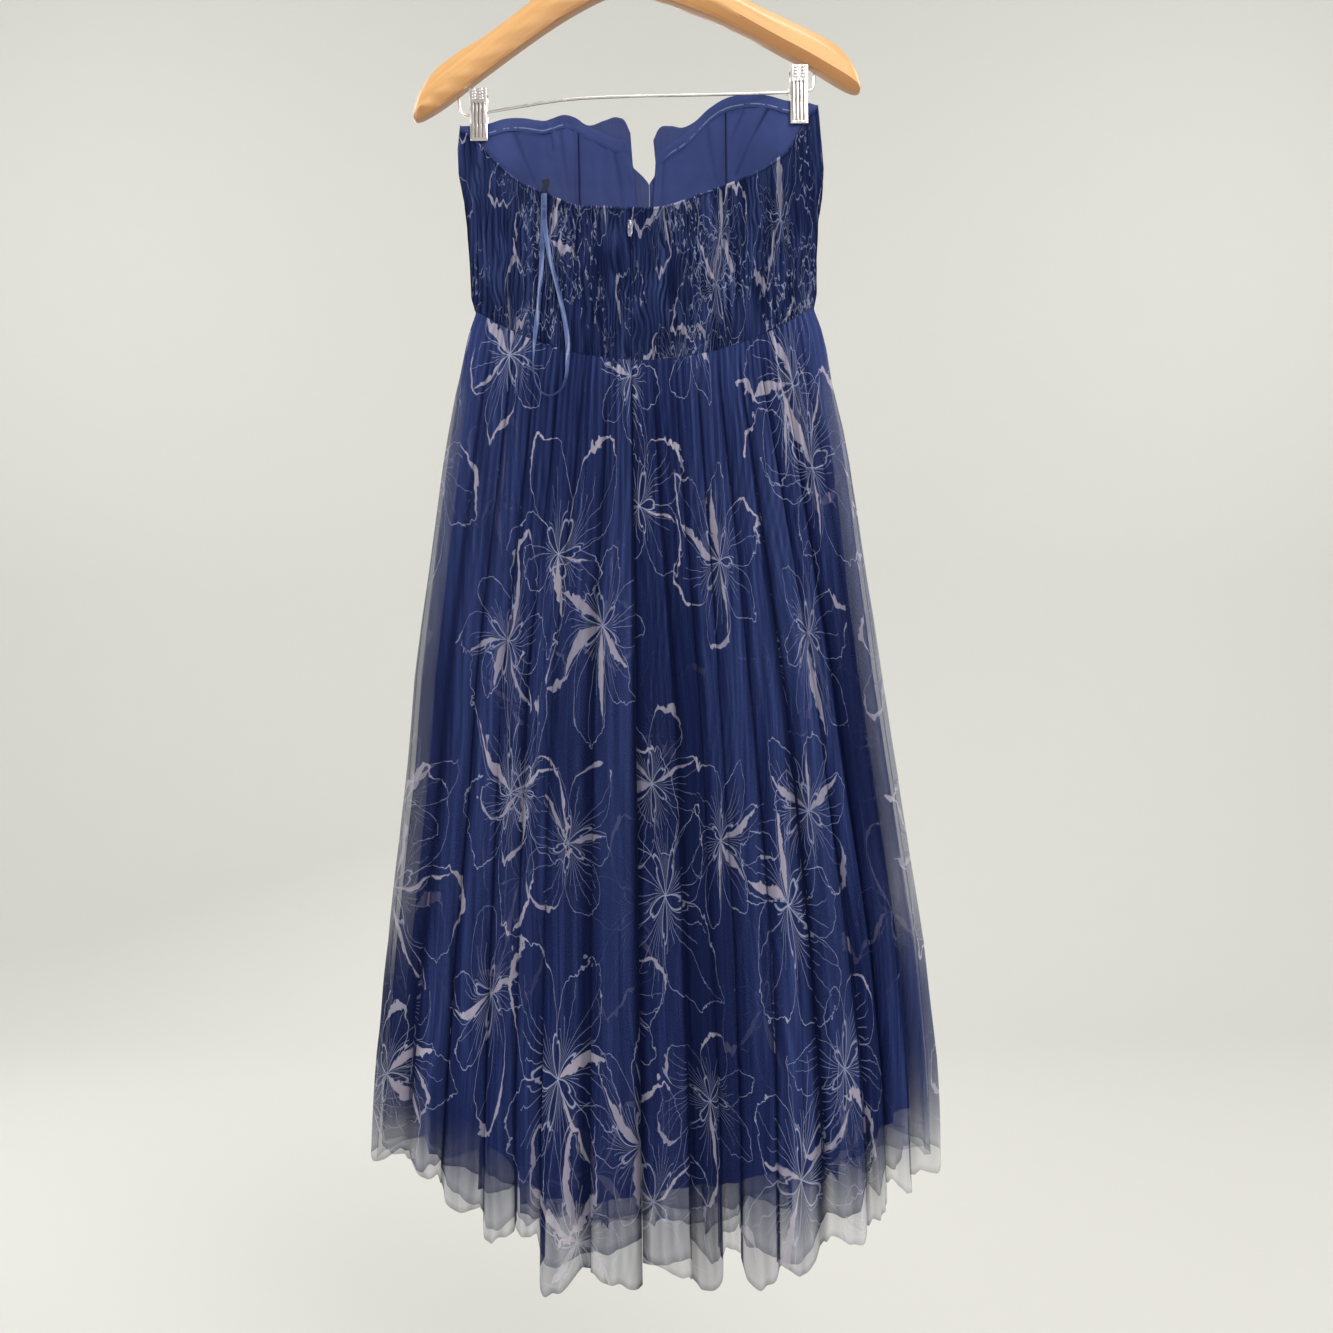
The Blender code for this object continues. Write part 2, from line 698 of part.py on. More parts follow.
def zip_chain(finish):
    """Zip tape with its closed teeth, behind the centre back seam."""
    top = lookup(BACK_TOP, BACK_SEAM_X) - ZIP_TOP_DROP
    rows = 12
    inner, outer = [], []
    for index in range(rows + 1):
        height = top + (ZIP_END - top) * index / rows
        share = share_at(BACK_SEAM_X, height)
        below = min(1.0, max(0.0, WAIST_SIDE - WAIST_DIP - height) / 60)
        y = flat_point(BACK, share, height).y + SEAM + below * 2.2
        left = Vector((BACK_SEAM_X - ZIP_WIDTH / 2, y, height))
        right = Vector((BACK_SEAM_X + ZIP_WIDTH / 2, y, height))
        away = Vector((0, ZIP_THICKNESS, 0))
        inner.append([left + away, right + away])
        outer.append([left, right])
    return wall("zip_chain", inner, outer, finish)


def pull_axis():
    """Centre of the pull tab's cross bar."""
    share = share_at(BACK_SEAM_X, SLIDER_HEIGHT)
    surface = flat_point(BACK, share, SLIDER_HEIGHT).y - BACK_WALL[1]
    return Vector((BACK_SEAM_X, surface - SEAM - SLIDER_OUTER[0][0], SLIDER_HEIGHT))


def zip_pull(metal):
    """Slider with its bridge, and the tab that hangs on it."""
    axis = pull_axis()
    half = SLIDER_HALF_WIDTH
    prism("zip_slider", SLIDER_OUTER, SLIDER_HOLE, -half, half, "x", metal, axis)
    pivot = bpy.data.objects.new("zip_pull_axis", None)
    pivot.location = axis * MM
    bpy.context.scene.collection.objects.link(pivot)
    half = TAB_HALF_THICKNESS
    tab = prism("zip_pull_tab", TAB_OUTER, TAB_HOLE, -half, half, "y", metal)
    tab.parent = pivot


def ribbon_level(x, height):
    """Y of a surface that clears the ruching and the folds at a place."""
    out = BACK_WALL[1] + RUCHE + RIBBON_CLEARANCE
    out += smooth((RIBBON_LIFT["start"] - height) / RIBBON_LIFT["length"]) * RIBBON_LIFT["depth"]
    out += outline(height, "fold") * RIBBON_LIFT["fold_share"]
    share = share_at(x, height)
    return garment_point(BACK, share, height, out).y


def hanger_loop(finish):
    """Satin ribbon down from the folded tab, round and up again."""
    path = [Vector((x, 0, z)) for x, z in RIBBON_PATH]
    count = len(path)
    points, faces = [], []
    for index, place in enumerate(path):
        before = path[max(0, index - 1)]
        after = path[min(count - 1, index + 1)]
        along = (after - before).normalized()
        across = Vector((along.z, 0, -along.x))
        over = smooth((index / (count - 1) - 0.35) / 0.3) * (RIBBON_THICKNESS + 0.35)
        level = ribbon_level(place.x, place.z) - over
        for sideways, deep in ((-1, 0), (1, 0), (1, -1), (-1, -1)):
            offset = across * (sideways * RIBBON_WIDTH / 2)
            points.append(Vector((place.x, level + deep * RIBBON_THICKNESS, place.z)) + offset)
    for index in range(count - 1):
        a = index * 4
        for corner in range(4):
            after = (corner + 1) % 4
            faces.append((a + corner, a + after, a + 4 + after, a + 4 + corner))
    faces.append((0, 1, 2, 3))
    faces.append(tuple(len(points) - 4 + corner for corner in range(4)))
    return new_object("hanger_loop", points, faces, finish)


def loop_tab(finish):
    """Folded tab that holds the ribbon on the back's top edge."""
    tab = FOLDED_TAB
    inner, outer = [], []
    for height in (tab["top"], tab["top"] - 6, tab["bottom"]):
        inner_row, outer_row = [], []
        for x in (tab["left"], (tab["left"] + tab["right"]) / 2, tab["right"]):
            share = share_at(x, height)
            out = BACK_WALL[1] + RUCHE + SEAM
            inner_row.append(garment_point(BACK, share, height, out))
            outer_row.append(garment_point(BACK, share, height, out + tab["thickness"]))
        inner.append(inner_row)
        outer.append(outer_row)
    return wall("loop_tab", inner, outer, finish)


def wood_row(row):
    """Cross-section of the wooden body, widest at its crease."""
    x, upper, crease, lower, half = row
    thin = half / 11.0
    top = WOOD_TOP_HALF * thin
    base = WOOD_BOTTOM_HALF * thin
    shoulder = (upper * 0.6 + crease * 0.4, half * 0.82)
    return [
        Vector((x, -top, upper)), Vector((x, -shoulder[1], shoulder[0])),
        Vector((x, -half, crease)), Vector((x, -base, lower)),
        Vector((x, base, lower)), Vector((x, half, crease)),
        Vector((x, shoulder[1], shoulder[0])), Vector((x, top, upper)),
    ]


def hanger_wood(finish):
    rings = [wood_row(row) for row in WOOD]
    sides = len(rings[0])
    points = [point for ring in rings for point in ring]
    faces = []
    for index in range(len(rings) - 1):
        a = index * sides
        for side in range(sides):
            after = (side + 1) % sides
            faces.append((a + side, a + after, a + sides + after, a + sides + side))
    faces.append(tuple(range(sides)))
    faces.append(tuple(len(points) - sides + side for side in range(sides)))
    return new_object("hanger_wood", points, faces, finish, sharp=30)


def hanger_hook(metal):
    """Collar on the wood, stem, and the open bend whose inside top is the origin."""
    centre_radius = HOOK_INSIDE + HOOK_WIRE
    start, end = HOOK_ARC
    path = [(x, z) for x, z, _ in HOOK_STEM]
    radii = [radius for _, _, radius in HOOK_STEM]
    for index in range(HOOK_STEPS + 1):
        angle = math.radians(start + (end - start) * index / HOOK_STEPS)
        x = centre_radius * math.cos(angle)
        z = -HOOK_INSIDE + centre_radius * math.sin(angle)
        path.append((x, z))
        radii.append(HOOK_WIRE)
    return tube("hanger_hook", path, radii, metal)


def clip_bar(metal):
    """Wire bar under the wood; its ends stop just under the wood's lower face."""
    path = [Vector((x, 0, z)) for x, z in BAR_PATH]
    ends = []
    for x in (BAR_PATH[0][0], BAR_PATH[-1][0]):
        level = lookup(WOOD, x, WOOD_COLUMNS.index("lower"))
        ends.append((x, level - SEAM - 1.2))
    path = [ends[0]] + [(point.x, point.z) for point in path[1:-1]] + [ends[1]]
    return tube("clip_bar", path, [BAR_RADIUS] * len(path), metal)


def jaw_outline(side, row, grip):
    """Side view of a jaw as (y, z): flared handle, bend round the spring, flat grip."""
    top, bottom, bar = row["top"], row["bottom"], row["bar"]
    pivot = SPRING_RADIUS + 0.4
    inner = [
        (pivot + JAW_FLARE, top), (pivot + 0.3, bar + 9), (pivot, bar + 4),
        (pivot, bar - 4), (grip + 0.2, bar - 9.5), (grip, bar - 12), (grip, bottom),
    ]
    outer = [
        (grip + JAW_THICKNESS, bottom), (grip + JAW_THICKNESS, bar - 11.7),
        (grip + JAW_THICKNESS + 0.2, bar - 9.2), (pivot + JAW_THICKNESS, bar - 3.9),
        (pivot + JAW_THICKNESS, bar + 4), (pivot + 0.3 + JAW_THICKNESS, bar + 9.2),
        (pivot + JAW_FLARE + JAW_THICKNESS, top),
    ]
    return [(side * y, z) for y, z in inner + outer]


def clip(name, row, metal):
    """Front and back jaw and the spring round the bar."""
    x = row["x"]
    half = CLIP_WIDTH / 2
    front_stack = BACK_WALL[1] + SEAM / 2 + SEAM
    back_stack = FRONT_OUTER[1] + SEAM / 2 + SEAM
    outlines = (
        ("front_jaw", jaw_outline(BACK, row, front_stack)),
        ("back_jaw", jaw_outline(FRONT, row, back_stack)),
    )
    for label, shape in outlines:
        prism("clip_%s_%s" % (name, label), shape, None, x - half, x + half, "x", metal)
    slope = (lookup(BAR_PATH, x + half) - lookup(BAR_PATH, x - half)) / CLIP_WIDTH
    reach = (-half, half + 3) if name == "left" else (-half - 3, half)
    path = [(x + along, row["bar"] + slope * along) for along in reach]
    hole = BAR_RADIUS + SEAM + 0.1
    tube("clip_%s_spring" % name, path, [SPRING_RADIUS] * 2, metal, 10, hole)


def main():
    clear_scene()
    ruched = material("ruched tulle", (0.028, 0.036, 0.115), 0.7, 0.0)
    overlay = material("printed tulle", (0.035, 0.045, 0.13), 0.7, 0.0)
    plain = material("navy lining", (0.05, 0.06, 0.18), 0.55, 0.0)
    strip = material("gripper strip", (0.09, 0.10, 0.24), 0.4, 0.0)
    satin = material("satin ribbon", (0.10, 0.15, 0.36), 0.35, 0.0)
    dark = material("dark binding", (0.01, 0.012, 0.03), 0.7, 0.0)
    tape = material("zip tape", (0.02, 0.025, 0.07), 0.7, 0.0)
    chrome = material("bright chrome", (0.8, 0.8, 0.82), 0.2, 1.0)
    timber = material("honey wood", (0.80, 0.45, 0.17), 0.4, 0.0)

    for half in ("left", "right"):
        bodice_back(half, ruched)
        bodice_front(half, ruched, plain, strip)
        skirt_overlay(BACK, half, BACK_FOLDS[half], overlay)
        skirt_lining(BACK, half, LINING_FOLDS, plain)
    skirt_overlay(FRONT, "whole", FRONT_FOLDS, overlay)
    skirt_lining(FRONT, "whole", LINING_FOLDS * 2, plain)
    zip_chain(tape)
    zip_pull(chrome)
    loop_tab(dark)
    hanger_loop(satin)
    hanger_wood(timber)
    hanger_hook(chrome)
    clip_bar(chrome)
    for name, row in CLIPS.items():
        clip(name, row, chrome)


main()
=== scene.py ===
import math

import bmesh
import bpy
import numpy as np
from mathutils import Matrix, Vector


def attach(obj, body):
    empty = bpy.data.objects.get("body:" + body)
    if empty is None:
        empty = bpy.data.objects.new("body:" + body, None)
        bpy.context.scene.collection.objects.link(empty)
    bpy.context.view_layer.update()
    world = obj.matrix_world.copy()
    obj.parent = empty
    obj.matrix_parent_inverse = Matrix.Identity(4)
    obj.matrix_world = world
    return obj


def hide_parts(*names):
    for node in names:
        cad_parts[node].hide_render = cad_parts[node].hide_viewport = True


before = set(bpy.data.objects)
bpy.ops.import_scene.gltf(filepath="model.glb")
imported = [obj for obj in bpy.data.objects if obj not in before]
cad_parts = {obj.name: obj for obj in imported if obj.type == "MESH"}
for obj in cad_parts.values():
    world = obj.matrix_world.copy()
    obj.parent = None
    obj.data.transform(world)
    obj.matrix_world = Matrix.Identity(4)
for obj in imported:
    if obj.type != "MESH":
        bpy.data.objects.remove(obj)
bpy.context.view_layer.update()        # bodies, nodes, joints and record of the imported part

# Strapless dress seen from its back, hung by two clips from a wooden hanger.
# Tables are in millimetres, meshes in metres. The hook's inside top is the origin.

mm = 0.001
back, front = -1, 1
dressBody = "dress_on_hanger"
pullBody = "zip_pull"

view = {
    "place": (27.15, -1300.0, -808.43),
    "roll": 0.75,            # degrees, the photo leans a little
    "halfWidth": 653.2,      # half the picture's width at the hanger
}

studio = {
    "wall": (0.630, 0.626, 0.604),
    "world": 0.95,
    "worldColour": (0.98, 1.0, 0.95),
    "floor": -1.72,           # metres, as the rest of the room
    "centre": 0.4,
    "room": (9.0, 5.4, 5.2),
    "bend": 1.2,              # between the floor and the back wall
    # name, place, aimed at, size, power, colour
    "lights": (
        ("keyLight", (1.0, -2.2, 0.30), (0, 0, -0.6), (1.4, 1.4), 62.0, (1.0, 0.98, 0.95)),
        ("fillLight", (-1.9, -1.7, -0.6), (0, 0, -0.8), (1.2, 1.8), 22.0, (0.95, 0.98, 1.0)),
        ("topLight", (0.3, -0.6, 1.3), (0, 0, -0.4), (1.2, 0.8), 16.0, (1.0, 0.97, 0.92)),
        ("frontLight", (-0.9, 2.1, 0.2), (0, 0, -0.7), (1.3, 1.6), 20.0, (1.0, 0.98, 0.95)),
        ("wallLightLeft", (-2.6, 0.6, 0.9), (0.2, 3.1, -0.7), (1.6, 2.4), 60.0, (1.0, 1.0, 0.97)),
        ("wallLightRight", (2.7, 0.6, 0.9), (-0.2, 3.1, -0.7), (1.6, 2.4), 60.0, (1.0, 1.0, 0.97)),
    ),
}

# Garment outline by height, the same rows as the solids were made from.
outlineColumns = ("height", "left", "right", "back", "front", "fold", "power")
outlineRows = np.array((
    (-240, -168, 181, 4, 26, 0, 2.0),
    (-273, -168, 184, 7, 30, 0, 2.0),
    (-300, -171, 186, 9, 36, 0, 2.0),
    (-323, -170, 187, 12, 39, 0, 2.0),
    (-352, -164, 184, 15, 38, 0, 2.0),
    (-375, -161, 180, 17, 35, 0, 2.0),
    (-412, -159, 178, 19, 29, 0, 2.0),
    (-445, -158, 178, 20, 25, 0, 2.0),
    (-460, -154, 175, 20, 24, 0, 2.0),
    (-480, -160, 181, 21, 24, 1.0, 1.9),
    (-503, -165, 186, 22, 25, 2.0, 1.8),
    (-540, -175, 193, 25, 26, 4, 1.6),
    (-578, -182, 201, 27, 27, 6, 1.5),
    (-662, -196, 214, 31, 30, 10, 1.35),
    (-740, -208, 224, 35, 32, 13, 1.25),
    (-814, -219, 234, 38, 33, 15, 1.2),
    (-916, -230, 250, 42, 35, 18, 1.15),
    (-1078, -251, 274, 48, 38, 21, 1.05),
    (-1190, -263, 284, 52, 40, 23, 1.0),
    (-1300, -273, 289, 55, 42, 24, 1.0),
    (-1420, -280, 293, 57, 43, 25, 1.0),
), dtype=float)[::-1]

bodice = {
    "backTop": (
        (-170, -275), (-158, -282), (-148, -289), (-138, -299), (-124, -315),
        (-106, -333), (-84, -346), (-56, -359), (-25, -362), (7, -364),
        (30, -363), (66, -350), (105, -334), (134, -316), (152, -301),
        (163, -284), (172, -270), (188, -260),
    ),
    "frontTop": (
        (-170, -275), (-138, -274), (-126, -271), (-106, -268), (-86, -267),
        (-66, -259), (-55, -260), (-44, -265), (-27, -260), (-14, -257),
        (-6, -262), (-2, -272), (20, -279), (26, -269), (38, -266), (50, -268),
        (61, -264), (78, -251), (98, -243), (120, -244), (136, -249),
        (150, -254), (173, -256), (188, -261),
    ),
    "liningDrop": (
        (-170, 1), (-50, 1), (-40, 4), (-27, 14), (-14, 22), (-2, 17), (20, 18),
        (26, 24), (38, 17), (50, 8), (61, 3), (78, 1), (188, 1),
    ),
    "notch": {                # edge at the centre front: height, x
        "left": ((-520, 15.85), (-320, 15.85), (-312, 9), (-304, 0), (-272, -2), (-240, -3)),
        "right": ((-520, 16.15), (-320, 16.15), (-312, 22), (-304, 23), (-272, 20), (-240, 19)),
    },
    "liningNotch": {
        "left": ((-520, 15.85), (-440, 15.85), (-345, 3), (-286, -2), (-240, -3)),
        "right": ((-520, 16.15), (-440, 16.15), (-345, 19), (-286, 24), (-240, 24)),
    },
    "notchLevel": -272,       # where the top edge is first looked up
    "waistSide": -459.0,
    "waistDip": 55.0,
    "backSeam": -2.5,
    "princess": {"left": -54.0, "right": 93.0},
    "pitches": (5.4, 3.9),    # two systems of gathers that run into each other
    "rucheDepth": 2.2,
    "drawnIn": 5.0,          # cloth out of sight in each gather
    "squeeze": 1.9,
    "fullness": 1.3,
    "facingDepth": 13.0,
}

clips = {
    "left": {"x": -149.5, "top": -243.0, "bottom": -292.0, "bar": -264.6},
    "right": {"x": 164.0, "top": -224.0, "bottom": -279.0, "bar": -247.2},
}

# Large folds: where each ends halfway down and at the hem as a share of its
# panel, its height, its hem, and how far it leans over its neighbour.
atMiddle, atHem, tall, hemLevel, leans = range(5)
folds = {
    "left": (
        (0.122, 0.110, 0.85, -1275, 0.10), (0.239, 0.226, 0.90, -1287, 0.22),
        (0.373, 0.398, 1.10, -1314, 0.18), (0.498, 0.527, 0.95, -1338, 0.02),
        (0.622, 0.635, 0.80, -1336, -0.10), (0.800, 0.807, 1.15, -1384, -0.20),
        (1.000, 1.000, 1.00, -1376, -0.05),
    ),
    "right": (
        (0.160, 0.168, 0.95, -1368, 0.10), (0.257, 0.266, 1.10, -1379, 0.20),
        (0.353, 0.340, 0.75, -1352, 0.12), (0.498, 0.475, 1.10, -1380, -0.05),
        (0.633, 0.633, 1.15, -1369, -0.22), (0.768, 0.790, 1.00, -1346, -0.08),
        (0.846, 0.857, 0.80, -1327, -0.16), (0.923, 0.927, 0.90, -1305, -0.20),
        (1.000, 1.000, 0.85, -1292, -0.05),
    ),
    "whole": (
        (0.075, 0.070, 0.80, -1285, 0.05), (0.150, 0.160, 0.90, -1318, 0.18),
        (0.245, 0.240, 0.80, -1345, 0.12), (0.335, 0.340, 0.95, -1372, 0.16),
        (0.415, 0.405, 0.75, -1380, 0.02), (0.500, 0.505, 0.95, -1378, -0.12),
        (0.590, 0.600, 0.90, -1384, 0.08), (0.675, 0.665, 0.75, -1376, 0.15),
        (0.765, 0.770, 0.95, -1362, -0.02), (0.845, 0.855, 0.85, -1342, -0.18),
        (0.925, 0.920, 0.80, -1316, -0.10), (1.000, 1.000, 0.80, -1297, -0.05),
    ),
}

skirt = {
    "stepsPerFold": {"overlay": 34, "under": 22, "lining": 14},
    "rows": {"overlay": 150, "under": 106, "lining": 70},
    "overlay": {back: 2.1, front: 3.4},
    "under": {back: 1.5, front: 2.8},
    "lining": {back: 0.6, front: 1.9},
    "liningHem": (
        (0.0, -1183), (0.15, -1243), (0.35, -1312), (0.5, -1302),
        (0.75, -1289), (1.0, -1243),
    ),
    "gathers": 62,            # across the waist
    "gatherDepth": 1.6,
    "gatherLength": 290.0,
    "turnedIn": 34.0,         # cloth out of sight in each fold
    "cover": {                # how much the tulle hides, by depth below the waist
        "overlay": ((0, 0.88), (120, 0.80), (300, 0.66), (600, 0.60)),
        "under": ((0, 0.75), (120, 0.70), (300, 0.60), (600, 0.54)),
    },
    # share of the cover that is left, by height above the hem
    "hemCover": ((0, 0.44), (40, 0.58), (100, 0.90), (170, 1.0)),
    "sideCover": 0.43,        # share of its cover that the tulle loses along the sides
    # how far the tulle stands out at the sides, by depth below the waist
    "flare": ((0, 0), (40, 4), (150, 9), (300, 12), (760, 13), (900, 10)),
    "underFlare": 0.6,        # share of that for the tulle underneath
    "liningInset": 5.5,
    "seamGap": 0.15,          # half the room between two pieces at a seam
    "fullness": 1.2,
}


def outline(height, name):
    return np.interp(height, outlineRows[:, 0], outlineRows[:, outlineColumns.index(name)])


# One value at each height of a short table.
def tableAt(height, rows):
    return np.interp(height, *np.array(rows, float).T)


# How far down and how far across each point of a grid lies, from 0 to 1.
def lattice(rows, columns):
    return np.linspace(0, 1, rows)[:, None], np.linspace(0, 1, columns)[None, :]


def bell(value):
    return np.exp(-value ** 2)


def wave(value):
    return 0.5 + 0.5 * np.cos(math.tau * value)


def smooth(value):
    value = np.clip(value, 0.0, 1.0)
    return value * value * (3 - 2 * value)


# Smooth curve through a short table.
def curve(rows, key):
    table = np.array(rows, dtype=float)
    if table[0, 0] > table[-1, 0]:
        table = table[::-1]
    x, y = table[:, 0], table[:, 1]
    slope = np.gradient(y, x)
    key = np.clip(key, x[0], x[-1])
    index = np.clip(np.searchsorted(x, key) - 1, 0, len(x) - 2)
    span = x[index + 1] - x[index]
    t = (key - x[index]) / span
    first = y[index] * (2 * t**3 - 3 * t**2 + 1) + y[index + 1] * (3 * t**2 - 2 * t**3)
    second = slope[index] * (t**3 - 2 * t**2 + t) + slope[index + 1] * (t**3 - t**2)
    return first + span * second


# Soft repeatable noise from -1 to 1, about one wave a unit.
def noise(x, y, seed=0):
    xi, yi = np.floor(x), np.floor(y)
    xf, yf = smooth(x - xi), smooth(y - yi)

    def corner(i, j):
        value = np.sin(i * 127.1 + j * 311.7 + seed * 74.7) * 43758.5453
        return (value - np.floor(value)) * 2 - 1

    low = corner(xi, yi) * (1 - xf) + corner(xi + 1, yi) * xf
    high = corner(xi, yi + 1) * (1 - xf) + corner(xi + 1, yi + 1) * xf
    return low * (1 - yf) + high * yf


def edges(height):
    inset = smooth((-470 - height) / 70) * 3.0 + outline(height, "fold") * 0.85
    return outline(height, "left") + inset, outline(height, "right") - inset


def shareAt(x, height):
    left, right = edges(height)
    return (x - left) / (right - left)


def halfShare(half, fraction, height):
    if half == "whole":
        return fraction + 0 * height
    middle = shareAt(bodice["backSeam"], height)
    if half == "left":
        return middle * fraction
    return middle + (1 - middle) * fraction


def waistHeight(shareOf, like):
    height = like * 0 + bodice["waistSide"] - bodice["waistDip"] / 2
    for _ in range(8):
        share = np.clip(shareOf(height), 0, 1)
        height = bodice["waistSide"] - bodice["waistDip"] * (4 * share * (1 - share)) ** 1.1
    return height


def pinch(x, height):
    pressed = x * 0
    for clip in clips.values():
        inward = x - clip["x"] if clip["x"] < 0 else clip["x"] - x
        across = 1 - smooth((inward - 14) / 50)
        down = 1 - smooth((clip["bottom"] - 4 - height) / 95)
        pressed = np.maximum(pressed, across * down)
    return pressed


def flatPoint(side, share, height):
    left, right = edges(height)
    x = left + (right - left) * share
    depth = outline(height, "back" if side == back else "front")
    rounded = np.maximum(0, 4 * share * (1 - share))
    bulge = depth * rounded ** (outline(height, "power") / 2)
    y = side * (0.15 + bulge * (1 - pinch(x, height)))
    return np.stack([x, y, height + 0 * x], axis=-1)


def outward(side, share, height):
    step = 0.004
    near = flatPoint(side, np.maximum(0, share - step), height)
    far = flatPoint(side, np.minimum(1, share + step), height)
    along = far - near
    normal = np.stack([-along[..., 1], along[..., 0], along[..., 0] * 0], axis=-1)
    return normal / np.linalg.norm(normal, axis=-1, keepdims=True) * side


def moved(points, normals, distance):
    return points + normals * np.asarray(distance)[..., None]


# Back and front meet along the side seams.
def closeSides(points, share):
    points[..., 1] = np.where(np.abs(share - 0.5) > 0.4999, 0, points[..., 1])
    return points


def gridFaces(rows, columns, start=0, turned=False):
    index = np.arange(rows * columns).reshape(rows, columns) + start
    quads = np.stack([index[:-1, :-1], index[:-1, 1:], index[1:, 1:], index[1:, :-1]], axis=-1)
    quads = quads.reshape(-1, 4)
    return quads[:, ::-1] if turned else quads


def newMesh(name, points, faces, uv=None, values=None):
    mesh = bpy.data.meshes.new(name)
    corners = (np.asarray(points).reshape(-1, 3) * mm).tolist()
    mesh.from_pydata(corners, [], [tuple(face) for face in faces])
    if uv is not None:
        layer = mesh.uv_layers.new(name="cut")
        loops = np.zeros(len(mesh.loops), dtype=np.int32)
        mesh.loops.foreach_get("vertex_index", loops)
        layer.data.foreach_set("uv", np.asarray(uv).reshape(-1, 2)[loops].ravel())
    for label, numbers in (values or {}).items():
        attribute = mesh.attributes.new(label, "FLOAT", "POINT")
        attribute.data.foreach_set("value", np.ravel(numbers).astype(np.float32))
    mesh.shade_smooth()
    piece = bpy.data.objects.new(name, mesh)
    bpy.context.scene.collection.objects.link(piece)
    return piece


# One layer of cloth, its faces towards the outside of the garment.
def clothSheet(name, side, points, uv, values=None):
    rows, columns = points.shape[:2]
    return newMesh(name, points, gridFaces(rows, columns, 0, side == back), uv, values)


# Cloth with a thickness: an outer and an inner face joined round the rim.
def clothWall(name, side, inner, outer, uv, values=None):
    rows, columns = inner.shape[:2]
    count = rows * columns
    index = np.arange(count).reshape(rows, columns)
    rim = np.concatenate([index[0, :], index[1:, -1], index[-1, -2::-1], index[-2:0:-1, 0]])
    following = np.roll(rim, -1)
    strip = np.stack([rim, following, following + count, rim + count], axis=-1)
    if side == front:
        strip = strip[:, ::-1]
    faces = np.concatenate([
        gridFaces(rows, columns, 0, side == front),
        gridFaces(rows, columns, count, side == back),
        strip,
    ])
    points = np.concatenate([inner.reshape(-1, 3), outer.reshape(-1, 3)])
    both = np.concatenate([uv.reshape(-1, 2), uv.reshape(-1, 2)])
    doubled = {label: np.tile(np.ravel(numbers), 2) for label, numbers in (values or {}).items()}
    piece = newMesh(name, points, faces, both, doubled)
    build = bmesh.new()
    build.from_mesh(piece.data)
    bmesh.ops.recalc_face_normals(build, faces=build.faces)
    build.to_mesh(piece.data)
    build.free()
    return piece


def dress(piece, finish, nodes=(), body=dressBody):
    piece.data.materials.clear()
    piece.data.materials.append(finish)
    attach(piece, body)
    if nodes:
        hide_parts(*nodes)
    return piece


# Places on the flat cut, in metres: along each row by its own arc, down by height.
def cutMap(points, wide):
    steps = np.linalg.norm(np.diff(points, axis=1), axis=-1)
    arc = np.concatenate([np.zeros((points.shape[0], 1)), np.cumsum(steps, axis=1)], axis=1)
    share = arc / arc[:, -1:]
    drop = points[:1, :, 2] - points[:, :, 2]
    return np.stack([(share - 0.5) * wide * mm, -drop * mm], axis=-1)


# Widest row, tallest column and area of a smooth grid of points, in metres.
def spread(points):
    rows = np.linalg.norm(np.diff(points, axis=1), axis=-1)
    columns = np.linalg.norm(np.diff(points, axis=0), axis=-1)
    one, two = points[1:, 1:] - points[:-1, :-1], points[1:, :-1] - points[:-1, 1:]
    area = np.linalg.norm(np.cross(one, two), axis=-1).sum() / 2
    return rows.sum(axis=1).max() * mm, columns.sum(axis=0).max() * mm, area * mm * mm


# Measures the finished cloth's widest row, tallest column and area, and keeps none of them.
def declareSheet(points):
    wide, tall, area = spread(points)


# What the finishes read from the mesh: the painted shade in the gathers and creases, a tone that also carries
# painted shade on the skirt's folds, and how the drawing wavers.
def clothValues(uv, paintedShade, tone, seed, cover=None):
    u, v = uv[..., 0], uv[..., 1]
    wobble = 0.68 * noise(u / 0.030, v / 0.030, seed) + 0.32 * noise(u / 0.011, v / 0.011, seed + 1)
    values = {"paintedShade": paintedShade, "tone": tone, "wobble": wobble}
    if cover is not None:
        values["cover"] = cover
    return values


# Finishes

# A number in a node tree. Sums and products of numbers become maths nodes.
class Number:
    def __init__(self, socket):
        self.socket = socket

    __add__ = __radd__ = lambda self, other: maths("ADD", self, other)
    __mul__ = __rmul__ = lambda self, other: maths("MULTIPLY", self, other)
    __sub__ = lambda self, other: maths("SUBTRACT", self, other)
    __rsub__ = lambda self, other: maths("SUBTRACT", other, self)
    __truediv__ = lambda self, other: maths("DIVIDE", self, other)
    __rtruediv__ = lambda self, other: maths("DIVIDE", other, self)
    __pow__ = lambda self, other: maths("POWER", self, other)
    __lt__ = lambda self, other: maths("LESS_THAN", self, other)
    __gt__ = lambda self, other: maths("GREATER_THAN", self, other)
    __abs__ = lambda self: maths("ABSOLUTE", self)


def feed(made, values):
    for label, value in values.items():
        target = made.inputs[label]
        value = getattr(value, "socket", value)
        if isinstance(value, bpy.types.NodeSocket):
            made.id_data.links.new(value, target)
        else:
            target.default_value = (*value, 1.0) if target.type == "RGBA" else value
    return made


def add(tree, kind, values=(), **settings):
    made = tree.nodes.new("ShaderNode" + kind)
    for name, value in settings.items():
        setattr(made, name, value)
    return feed(made, dict(values))


def maths(operation, *values, clamp=False):
    tree = next(value.socket.id_data for value in values if isinstance(value, Number))
    return Number(add(tree, "Math", enumerate(values), operation=operation, use_clamp=clamp).outputs[0])


def numbers(made):
    return [Number(socket) for socket in made.outputs]


def mix(share, first, second):
    return add(share.socket.id_data, "Mix", {0: share, 6: first, 7: second}, data_type="RGBA").outputs[2]


